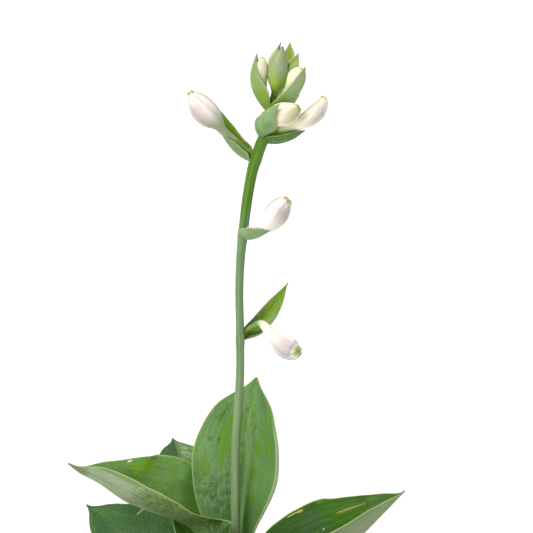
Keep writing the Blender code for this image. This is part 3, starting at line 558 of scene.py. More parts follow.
# %% [markdown]
# ## The leaves
# Eleven leaves stand round the crown, each on its own stalk. Those that the picture shows follow
# it: one upright behind the scape, long folded ones to the left and right, and parts of three more.
# The rest fill the sides that it doesn't show. ring is a stalk's place on the crown, line its midrib
# beyond it, and face the way the upper side looks. folds are the degrees by which each half rises at
# the midrib and the margin, and outline is the widest place and the draw to tip and stalk.

# %% Spines and folds of the leaves
CROWN_TOP = 0.119
GAP = 0.0003
LEAVES = {
    "leaf_upright": dict(
        ring=(0.0085, 78), stalk=0.18, half_width=0.0326, outline=(0.46, 0.92, 1.0),
        uneven=(0.3, 0.0, 0.5), folds=[(26, 34), (26, 34)],
        face=[(0, -1, 0), (-0.26, -0.95, 0.1), (-0.28, -0.95, 0.1)], wave=(0.001, 1.5, 0.1),
        cusp=(0.58, 0.095), veined=0.55,
        line=[(0.0012, 0.0085, 0.143), (0.0013, 0.009, 0.156), (0.0015, 0.0095, 0.177),
            (0.0029, 0.01, 0.2), (0.006, 0.011, 0.23), (0.0096, 0.012, 0.2472),
            (0.0128, 0.013, 0.2625)],
        nudges=[
            (-1, [(0, 0, 0, 0), (0.8, 0, 0, 0), (0.87, -0.8, 0, 0), (0.92, -2.2, 0, 0),
                (0.97, -1, 0, 0), (1, 0, 0, 0)]),
            (1, [(0, 0, 0, 0), (0.75, 0.5, 0, 0), (0.86, 1.3, 0, 0), (0.92, 1.8, 0, 0),
                (0.97, 0.6, 0, 0), (1, 0, 0, 0)]),
        ],
    ),
    "leaf_long_left": dict(
        ring=(0.01, 200), stalk=0.17, half_width=0.038, outline=(0.57, 0.92, 0.74),
        uneven=(0.95, 0.06, 0.25), folds=[(40, 44), (52, 54), (62, 66), (66, 70)],
        wave=(0.0006, 1.0, 0.3), cusp=(0.62, 0.11), curl=0.0001,
        line=[(-0.0138, -0.0014, 0.142), (-0.0217, 0.004, 0.157), (-0.0315, 0.006, 0.1685),
            (-0.057, 0.002, 0.1797), (-0.0701, -0.002, 0.1864), (-0.0861, -0.006, 0.199),
            (-0.097, -0.0074, 0.2054), (-0.105, -0.008, 0.2119)],
        face=[(1, 0.3, 0), (0.4, -0.34, 0.8), (0.4, -0.375, 0.82), (0.43, -0.36, 0.82),
            (0.54, -0.2, 0.81)],
        nudges=[
            (-1, [(0, 3, 0, 3), (0.06, 13, 10, 9), (0.125, 16, 22, 6), (0.19, 14, 20, 2),
                (0.25, 6, 9, -2), (0.33, 0, 0, -3), (0.4, 0, 0, -1.2), (0.5, 0, 0, -1.6),
                (0.6, 0, 0, -1.4), (0.7, 0, 0, 1.4), (0.8, 0, 0, 1.8), (0.87, 0, 0, 1.8),
                (0.94, 0, 0, 1.8), (0.98, 0, 0, 0.8), (1, 0, 0, 0)]),
            (1, [(0, 0, 0, 0), (0.45, 0, 0, -1), (0.54, 0, 0, -1), (0.6, 0, 0, 0.4),
                (0.66, 0, 0, 2.8), (0.71, 0, 0, 3), (0.76, 0, 0, 1), (0.81, 0, 0, -0.4),
                (0.86, 0, 0, -0.6), (0.93, 0, 0, 1.2), (0.97, 0, 0, 0.8), (1, 0, 0, 0)]),
        ],
    ),
    "leaf_behind_left": dict(
        ring=(0.0155, 126), stalk=0.26, half_width=0.0255, outline=(0.48, 1.0, 0.85),
        folds=[(20, 24), (20, 24)], wave=(0.001, 1.5, 0.6),
        line=[(-0.0103, 0.018, 0.145), (-0.0163, 0.028, 0.1605), (-0.0252, 0.042, 0.1746),
            (-0.0337, 0.058, 0.1852), (-0.0404, 0.074, 0.1961), (-0.0447, 0.086, 0.2056)],
        face=[(0.6, -0.8, 0.0), (0.15, -0.6, 0.76), (0.2, -0.62, 0.76)],
    ),
    "leaf_low_left": dict(
        ring=(0.016, 168), stalk=0.24, half_width=0.0268, outline=(0.5, 1.05, 0.8),
        folds=[(14, 20), (14, 20)], wave=(0.0016, 1.5, 0.2),
        line=[(-0.019, 0.006, 0.1325), (-0.0235, 0.008, 0.1365), (-0.0378, 0.013, 0.143),
            (-0.0559, 0.017, 0.149), (-0.0741, 0.02, 0.1576), (-0.0864, 0.022, 0.1672),
            (-0.0972, 0.024, 0.1766)],
        face=[(1, -0.1, 0), (-0.12, -0.5, 0.8), (-0.2, -0.54, 0.8), (-0.25, -0.6, 0.74)],
    ),
    "leaf_young_left": dict(
        ring=(0.011, 142), stalk=0.3, half_width=0.014, outline=(0.47, 0.75, 0.85),
        folds=[(20, 40), (20, 40)], face=[(1, -0.6, 0), (0.4, -0.75, 0.5), (0.45, -0.75, 0.5)],
        line=[(-0.012, 0.0085, 0.136), (-0.019, 0.011, 0.147), (-0.03, 0.012, 0.159),
            (-0.0416, 0.012, 0.1712)],
    ),
    "leaf_right": dict(
        ring=(0.0095, 342), stalk=0.18, half_width=0.0335, outline=(0.57, 0.82, 0.78),
        folds=[(56, 56), (56, 56)], wave=(0.0006, 1.0, 0.5), cusp=(0.6, 0.06), curl=0.0001,
        line=[(0.0136, -0.003, 0.1365), (0.0275, -0.006, 0.144), (0.0438, -0.009, 0.1495),
            (0.0607, -0.011, 0.156), (0.075, -0.013, 0.1645), (0.0904, -0.014, 0.1802),
            (0.1052, -0.014, 0.1961)],
        face=[(-1, 0.3, 0), (-0.35, -0.38, 0.84), (-0.55, -0.4, 0.72), (-0.63, -0.38, 0.67),
            (-0.68, -0.2, 0.7)],
        nudges=[
            (-1, [(0, -2, 0, 0), (0.1, -6, 0, 2), (0.15, -5, 0, 2), (0.2, -4, 0, 1.6),
                (0.25, -2.5, 0, 1.4), (0.3, -1, 0, 1), (0.4, 0, 0, 0.3), (0.5, 0, 0, 0.2),
                (0.6, 0, 0, 1.8), (0.7, 0, 0, 1.7), (0.75, 0, 0, 0.9), (0.82, 0, 0, 0),
                (1, 0, 0, 0)]),
            (1, [(0, 0, 0, 0), (0.45, 0, 0, 2.4), (0.6, 0, 0, 2.6), (0.7, 0, 0, 2.4),
                (0.75, 0, 0, 1.5), (0.8, 0, 0, 0.6), (0.87, 0, 0, 0), (1, 0, 0, 0)]),
        ],
    ),
    "leaf_front_right": dict(
        ring=(0.016, 308), stalk=0.26, half_width=0.03, outline=(0.48, 0.75, 0.85),
        folds=[(18, 14), (18, 14)], wave=(0.002, 2.0, 0.1),
        line=[(0.015, -0.019, 0.138), (0.033, -0.04, 0.152), (0.056, -0.066, 0.15),
            (0.084, -0.096, 0.126)],
        face=[(-0.6, 0.8, 0), (-0.25, 0.3, 0.95), (0.1, -0.15, 1.0), (0.4, -0.45, 0.8)],
    ),
    "leaf_front_left": dict(
        ring=(0.016, 244), stalk=0.26, half_width=0.03, outline=(0.48, 0.75, 0.85),
        folds=[(20, 16), (20, 16)], wave=(0.002, 2.0, 0.6),
        line=[(-0.0105, -0.021, 0.138), (-0.025, -0.044, 0.152), (-0.043, -0.074, 0.148),
            (-0.062, -0.106, 0.122)],
        face=[(0.5, 0.9, 0), (0.15, 0.35, 0.95), (-0.05, -0.15, 1.0), (-0.3, -0.5, 0.8)],
    ),
    "leaf_behind": dict(
        ring=(0.016, 88), stalk=0.26, half_width=0.018, outline=(0.48, 0.75, 0.85),
        folds=[(22, 18), (22, 18)], wave=(0.0016, 2.0, 0.3),
        line=[(0.0018, 0.024, 0.15), (0.0038, 0.033, 0.178), (0.0062, 0.05, 0.2),
            (0.008, 0.074, 0.212)],
        face=[(0, -1, 0), (0, -0.8, 0.6), (0, -0.6, 0.8), (0, -0.3, 0.95)],
    ),
    "leaf_behind_right": dict(
        ring=(0.016, 38), stalk=0.26, half_width=0.029, outline=(0.48, 0.75, 0.85),
        folds=[(16, 12), (16, 12)], wave=(0.002, 2.0, 0.8),
        line=[(0.019, 0.014, 0.136), (0.043, 0.033, 0.147), (0.073, 0.056, 0.143),
            (0.105, 0.08, 0.118)],
        face=[(-0.8, -0.6, 0), (-0.3, -0.22, 0.95), (0.1, 0.08, 1.0), (0.45, 0.35, 0.85)],
    ),
    "leaf_young_front": dict(
        ring=(0.009, 278), stalk=0.34, half_width=0.015, outline=(0.48, 0.75, 0.85),
        folds=[(24, 30), (24, 30)], wave=(0.0006, 1.5, 0.0),
        line=[(0.002, -0.0135, 0.14), (0.005, -0.03, 0.156), (0.008, -0.05, 0.159),
            (0.01, -0.068, 0.15)],
        face=[(0, 1, 0), (-0.05, 0.45, 0.9), (-0.05, 0.1, 1.0), (0, -0.2, 1.0)],
    ),
}

# %% [markdown]
# ## What marks out each leaf
# No two leaves of a clump look alike. The upright one is greyest and rubbed in upright streaks. The
# long folded ones are darker inside and pale outside, and carry scars. The young ones are bright.
# So each leaf has its own settings for one shared finish, and what it doesn't name is as usual.

# %% Make the leaves
LEAF_LOOKS = {
    "leaf_upright": dict(
        bloom=(0.19, 0.345, 0.125), rubbed=(0.15, 0.32, 0.028), deep=(0.06, 0.14, 0.03), wear=0.32,
        drops=[((0.9, 0.02), 1.5), ((0.79, 0.19), 1.7), ((0.75, -0.81), 1.5)], veined=0.45,
        rolled=True, spots=1.0, mottled=1.6,
        # Painted shade on the right half, low down and in the valley along the midrib, and painted light
        # beside the valley and on the left half.
        painted_light_shade_and_tones=[((0.2, 0.45), (0.16, 0.6), (0.045, 0.11, 0.012), 0.6),
            ((0.28, -0.3), (0.16, 0.6), (0.09, 0.19, 0.055), 0.5),
            ((0.54, 0.78), (0.42, 0.44), (0.085, 0.185, 0.05), 0.75),
            ((0.42, 0.15), (0.26, 0.09), (0.27, 0.47, 0.17), 0.8),
            ((0.4, 0.3), (0.16, 0.12), (0.095, 0.2, 0.05), 0.35),
            ((0.42, 0.02), (0.18, 0.08), (0.04, 0.105, 0.02), 0.55),
            ((0.62, -0.78), (0.18, 0.16), (0.27, 0.45, 0.18), 0.25),
            ((0.74, 0.78), (0.16, 0.22), (0.07, 0.165, 0.03), 0.5)],
        marks_and_painted_light=[((0.66, -0.42), (0.15, 0.1), (0.145, 0.31, 0.022), 0.8, 2.2),
            ((0.72, -0.28), (0.08, 0.05), (0.15, 0.32, 0.022), 0.7, 2.0),
            ((0.74, -0.09), (0.05, 0.07), (0.13, 0.3, 0.012), 0.85, 0.8),
            ((0.47, -0.74), (0.1, 0.1), (0.14, 0.3, 0.02), 0.8, 2.2),
            ((0.5, -0.89), (0.04, 0.04), (0.14, 0.31, 0.02), 0.6),
            ((0.34, -0.55), (0.014, 0.08), (0.045, 0.105, 0.055), 0.6)],
        flecks=[((0.82, -0.69), 0.9, 0.8), ((0.82, -0.08), 1.0, 0.8), ((0.74, 0.29), 1.2, 1.1),
            ((0.78, 0.5), 1.8, 1.1), ((0.8, 0.75), 5.0, 1.8), ((0.73, 0.9), 2.4, 1.2),
            ((0.69, 0.62), 2.6, 1.4), ((0.57, 0.78), 2.2, 1.4), ((0.73, 0.5), 2.6, 2.2),
            ((0.63, -0.04), 1.6, 0.8), ((0.57, -0.02), 1.1, 1.0), ((0.65, -0.71), 1.1, 1.6),
            ((0.65, -0.54), 1.8, 1.1), ((0.77, -0.67), 3.2, 1.4), ((0.63, 0.42), 3.9, 3.2),
            ((0.65, 0.73), 4.2, 2.0), ((0.55, 0.48), 0.9, 0.9), ((0.5, 0.35), 3.6, 2.2),
            ((0.35, 0.42), 3.6, 1.8), ((0.26, -0.58), 1.2, 1.6)],
        dapples=[((0.37, -0.45), (0.12, 0.5), (0.06, 0.13, 0.06), (0.25, 0.37, 0.19), 1.0)],
    ),
    "leaf_long_left": dict(
        bloom=(0.195, 0.372, 0.09), wear=0.1, under=(0.325, 0.41, 0.26), veined=0.55,
        # Painted shadow on the far wall near the base, beside the upright leaf.
        painted_light_shade_and_tones=[((0.22, 0.5), (0.11, 0.9), (0.06, 0.15, 0.018), 0.8)],
        marks_and_painted_light=[((0.635, 0.76), (0.085, 0.19), (0.2, 0.4, 0.026), 0.95, 0.35),
            ((0.74, 0.92), (0.01, 0.04), (0.9, 0.87, 0.78), 1.0),
            # Painted shadow with a sharp edge, on the far wall near the base.
            ((0.2, 0.7), (0.17, 0.7), (0.07, 0.17, 0.02), 0.7, 0.2),
            ((0.44, 0.77), (0.03, 0.1), (0.14, 0.29, 0.03), 0.6),
            ((0.55, 0.45), (0.08, 0.08), (0.14, 0.29, 0.03), 0.5),
            ((0.3, -0.7), (0.34, 0.72), (0.15, 0.25, 0.065), -0.85, 0.45),
            ((0.73, -0.95), (0.12, 0.14), (0.15, 0.25, 0.065), -0.8, 0.45),
            ((0.46, -0.7), (0.08, 0.2), (0.11, 0.21, 0.03), -0.6),
            ((0.97, -0.5), (0.09, 0.9), (0.13, 0.19, 0.05), -0.75),
            ((0.15, -0.6), (0.17, 0.8), (0.095, 0.205, 0.034), -0.9),
            ((0.14, -0.85), (0.11, 0.4), (0.055, 0.13, 0.022), -0.85, 0.4)],
        flecks=[((0.35, 0.69), 0.9, 0.7), ((0.32, 0.48), 0.9, 0.7), ((0.34, 0.58), 0.7, 0.6)],
        dapples=[((0.4, -0.62), (0.26, 0.5), (0.085, 0.165, 0.028), (0.27, 0.36, 0.18), -1.5)],
    ),
    "leaf_behind_left": dict(
        bloom=(0.06, 0.135, 0.032), wear=0.2,
        painted_light_shade_and_tones=[((0.86, 0.46), (0.1, 0.36), (0.16, 0.25, 0.1), 0.7)],
        dapples=[((0.86, 0.44), (0.09, 0.34), (0.06, 0.13, 0.04), (0.3, 0.4, 0.24), 1.2)],
    ),
    "leaf_low_left": dict(
        bloom=(0.067, 0.154, 0.053), wear=0.25, mottled=1.5,
        marks_and_painted_light=[((0.61, 0.67), (0.008, 0.03), (0.55, 0.48, 0.14), 0.9, 0.2),
            ((0.6, 0.74), (0.008, 0.04), (0.55, 0.48, 0.14), 0.9, 0.2),
            ((0.59, 0.81), (0.008, 0.03), (0.55, 0.48, 0.14), 0.9, 0.2)],
    ),
    "leaf_young_left": dict(bloom=(0.045, 0.15, 0.002), rubbed=(0.06, 0.17, 0.004), spots=0.1),
    "leaf_right": dict(
        bloom=(0.032, 0.1, 0.005), wear=0.3, under=(0.215, 0.28, 0.135),
        drops=[((0.83, -0.78), 4.2)],
        painted_light_shade_and_tones=[((0.6, -0.6), (0.16, 0.4), (0.048, 0.15, 0.006), 0.7),
            ((0.38, -0.55), (0.1, 0.3), (0.06, 0.135, 0.045), 0.5)],
        marks_and_painted_light=[((0.69, -0.65), (0.11, 0.022), (0.72, 0.5, 0.1), 0.95, 0.6),
            ((0.67, -0.665), (0.06, 0.01), (0.9, 0.74, 0.3), 0.95, 0.4),
            ((0.28, -0.945), (0.03, 0.009), (0.8, 0.66, 0.24), 0.9, 0.4),
            ((0.325, -0.935), (0.024, 0.02), (0.66, 0.42, 0.08), 0.9),
            # A painted glint on a drop.
            ((0.44, -0.45), (0.006, 0.02), (0.55, 0.62, 0.5), 0.9),
            ((0.66, -0.6), (0.13, 0.22), (0.07, 0.165, 0.006), 0.6, 2.0),
            ((0.88, -0.5), (0.1, 0.5), (0.08, 0.17, 0.018), 0.6)],
    ),
    "leaf_young_front": dict(bloom=(0.09, 0.19, 0.03), spots=0.1),
}
LEAF_ROWS = 120
LEAF_COLUMNS = 6 * 2 * VEINS_EACH_SIDE


def outward(degrees):
    """The direction away from the crown at a turn round it."""
    return np.array([math.cos(math.radians(degrees)), math.sin(math.radians(degrees))])


def leaf(name, seed, ring, line, **shape):
    radius, azimuth = ring
    foot = radius * outward(azimuth)
    bottom = CROWN_TOP + GAP
    line = [(*foot, bottom), (*foot, bottom + 0.004), *line]
    surface, over, under, place = blade_sheet(
        line, rows=LEAF_ROWS, columns=LEAF_COLUMNS, thickness=LEAF_THICKNESS, seed=seed, **shape
    )
    surface[0, :, 2] = bottom
    middle = surface[:, LEAF_COLUMNS // 2]
    blade_long = (1.0 - shape["stalk"]) * np.linalg.norm(np.diff(middle, axis=0), axis=1).sum()
    look = LEAF_LOOKS.get(name, {})
    skin = leaf_finish(name, 1000 * shape["half_width"], 1000 * blade_long, float(seed), **look)
    blade_piece(name + "_fine", surface, over, under, place, skin, "leaf", [name], bottom)
    print(name, "has a blade", round(1000 * blade_long), "mm long")


for number, (leaf_name, leaf_shape) in enumerate(LEAVES.items()):
    leaf(leaf_name, 10 * number + 3, **leaf_shape)

# %% [markdown]
# ## Round forms: scape, buds and roots
# Stems and buds are tubes whose radius changes along the way. Blender can bevel a curve, but petals
# that overlap need a radius that also changes round the tube. So rings are set along the spine,
# each turned as little as possible from the one before, and the radius is a table of rings by turns.

# %% Rings round a spine
def ring_points(centres, radii, forward=None):
    """Points of rings round the centres. forward moves each point on along the spine."""
    centres = np.asarray(centres, float)
    tangent = unit(np.gradient(centres, axis=0))
    first = np.cross(tangent[0], (0.0, 1.0, 0.0))
    frames = [unit(first if np.linalg.norm(first) > 0.2 else np.cross(tangent[0], (1.0, 0.0, 0.0)))]
    for direction in tangent[1:]:
        frames.append(unit(frames[-1] - direction * np.dot(frames[-1], direction)))
    across = np.array(frames)
    other = np.cross(tangent, across)
    turns = even_turns(radii.shape[1])
    ring = np.cos(turns)[None, :, None] * across[:, None] + np.sin(turns)[None, :, None] * other[:, None]
    points = centres[:, None] + ring * radii[:, :, None]
    if forward is not None:
        points = points + tangent[:, None] * forward[:, :, None]
    return points, turns


def tube_mesh(points, places, dimple=0.0):
    """Points, faces and places of a closed tube. dimple sinks the middle of its far end."""
    ends = np.array([points[0].mean(0), points[-1].mean(0)])
    ends[1] -= dimple * unit(ends[1] - points[-3].mean(0))
    kept = np.vstack([places.reshape(-1, 3), places[0, 0], places[-1, 0]])
    return *closed_rings(points, ends), kept


# %% [markdown]
# ## The scape
# The scape is a smooth, nearly round stem, 5 to 7 mm thick, that leans and thickens where the
# flowers crowd. It is glaucous, which means grey-green with wax, on its lower part and yellow-green
# above. A faint ridge runs down from each bract, and below each one the stem swells a little.

# %% Shape the scape
SCAPE_LINE = [
    (0.0, 0.0, CROWN_TOP + GAP), (-0.0005, -0.001, 0.165), (-0.0005, -0.002, 0.217),
    (0.0012, -0.003, 0.244), (0.0026, -0.0035, 0.27), (0.0026, -0.004, 0.296),
    (0.0022, -0.0035, 0.32), (0.003, -0.003, 0.34), (0.0045, -0.0025, 0.355),
    (0.0072, -0.002, 0.377), (0.0105, -0.0015, 0.395), (0.015, -0.001, 0.409),
    (0.018, -0.0005, 0.416), (0.0202, 0.001, 0.423), (0.0226, 0.002, 0.434),
    (0.0248, 0.003, 0.446), (0.0262, 0.004, 0.456),
]
SCAPE_RADII = [
    0.0029, 0.0027, 0.0029, 0.0028, 0.0026, 0.0025, 0.0025, 0.0027, 0.003,
    0.0032, 0.0034, 0.0037, 0.0036, 0.0032, 0.0026, 0.002, 0.001,
]
SCAPE_JOINTS = (0.2895, 0.3545, 0.401)
JOINT_SWELL, JOINT_REACH = 0.00035, 0.0035
SCAPE_RINGS, SCAPE_SIDES = 320, 64
SCAPE_RIDGE = 0.000035


def scape_finish():
    stem = Finish(
        "scape_skin", IOR=1.42, Specular_IOR_Level=0.3, Subsurface_Weight=0.06, Subsurface_Scale=0.003
    )
    height, east, north = stem.kept("place")
    streaks = stem.clouds(stem.vector(east * 2.4, north * 2.4, height * 26.0), 1.0, 4.0)
    bloom = stem.clouds(stem.vector(east, north, height * 70.0), 1.0, 4.0)
    specks = stem.clouds(stem.vector(east * 6.0, north * 6.0, height * 900.0), 1.0, 2.0)
    low = stem.blend((0.215, 0.315, 0.15), (0.15, 0.26, 0.09), streaks.step(0.38, 0.62))
    middle = stem.blend((0.17, 0.27, 0.14), (0.12, 0.21, 0.075), streaks.step(0.38, 0.62))
    high = stem.blend((0.1, 0.225, 0.026), (0.064, 0.165, 0.006), streaks.step(0.35, 0.6))
    stem.coat = stem.blend(low, middle, height.step(0.23, 0.3))
    stem.paint(high, height.step(0.35, 0.375))
    stem.paint((0.25, 0.33, 0.21), bloom.step(0.55, 0.75) * 0.3)
    facing_line = (east * 0.42 - north * 0.91).step(0.955, 0.99)
    line = facing_line * height.step(0.3, 0.255)
    stem.paint((0.24, 0.24, 0.16), line * 0.55)
    stem.paint((0.1, 0.17, 0.05), specks.step(0.68, 0.76) * 0.35)
    roughness = 0.42 + bloom * 0.16
    return stem.finish(roughness, streaks * 0.6 + specks * 0.2, 0.00025)


def scape():
    shares = np.linspace(0.0, 1.0, SCAPE_RINGS)
    knots = np.array(SCAPE_LINE)
    centres = curve_through(knots, shares)
    radii = np.interp(centres[:, 2], knots[:, 2], SCAPE_RADII)
    kernel = np.hanning(15) / np.hanning(15).sum()
    radii = np.convolve(np.pad(radii, 7, mode="edge"), kernel, mode="valid")
    for joint in SCAPE_JOINTS:
        radii = radii + JOINT_SWELL * np.exp(-(((centres[:, 2] - joint) / JOINT_REACH) ** 2))
    turns = even_turns(SCAPE_SIDES)
    ridges = SCAPE_RIDGE * np.cos(5 * turns[None, :] + 9.0 * shares[:, None])
    points, _ = ring_points(centres, radii[:, None] + ridges)
    around = unit(points - centres[:, None])
    places = place_of(points.shape[:2], centres[:, 2:], around[:, :, 0], around[:, :, 1])
    flat, faces, kept = tube_mesh(points, places)
    piece("scape_fine", flat, faces, scape_finish(), "scape", ["scape"], place=kept)


scape()

# %% [markdown]
# ## Buds and the bracts that hold them
# Each unopened flower is a slim tube that swells into a club. Six petals close it, each lapping over
# the next, and their thick tips stand as small blunt points at the end. Under it sits a bract, a
# boat-shaped little leaf that clasps the scape. At the top, closed bracts still hide the young buds.
# The bracts reuse the blade, without a stalk, and the buds are tubes with a step at each petal edge.
# bud_line is a bud's spine, girth and tube are its radii, and bract is its bract's midrib. A profile
# gives the radii themselves instead, as pairs of a share of the length and mm. turn sets the petals.

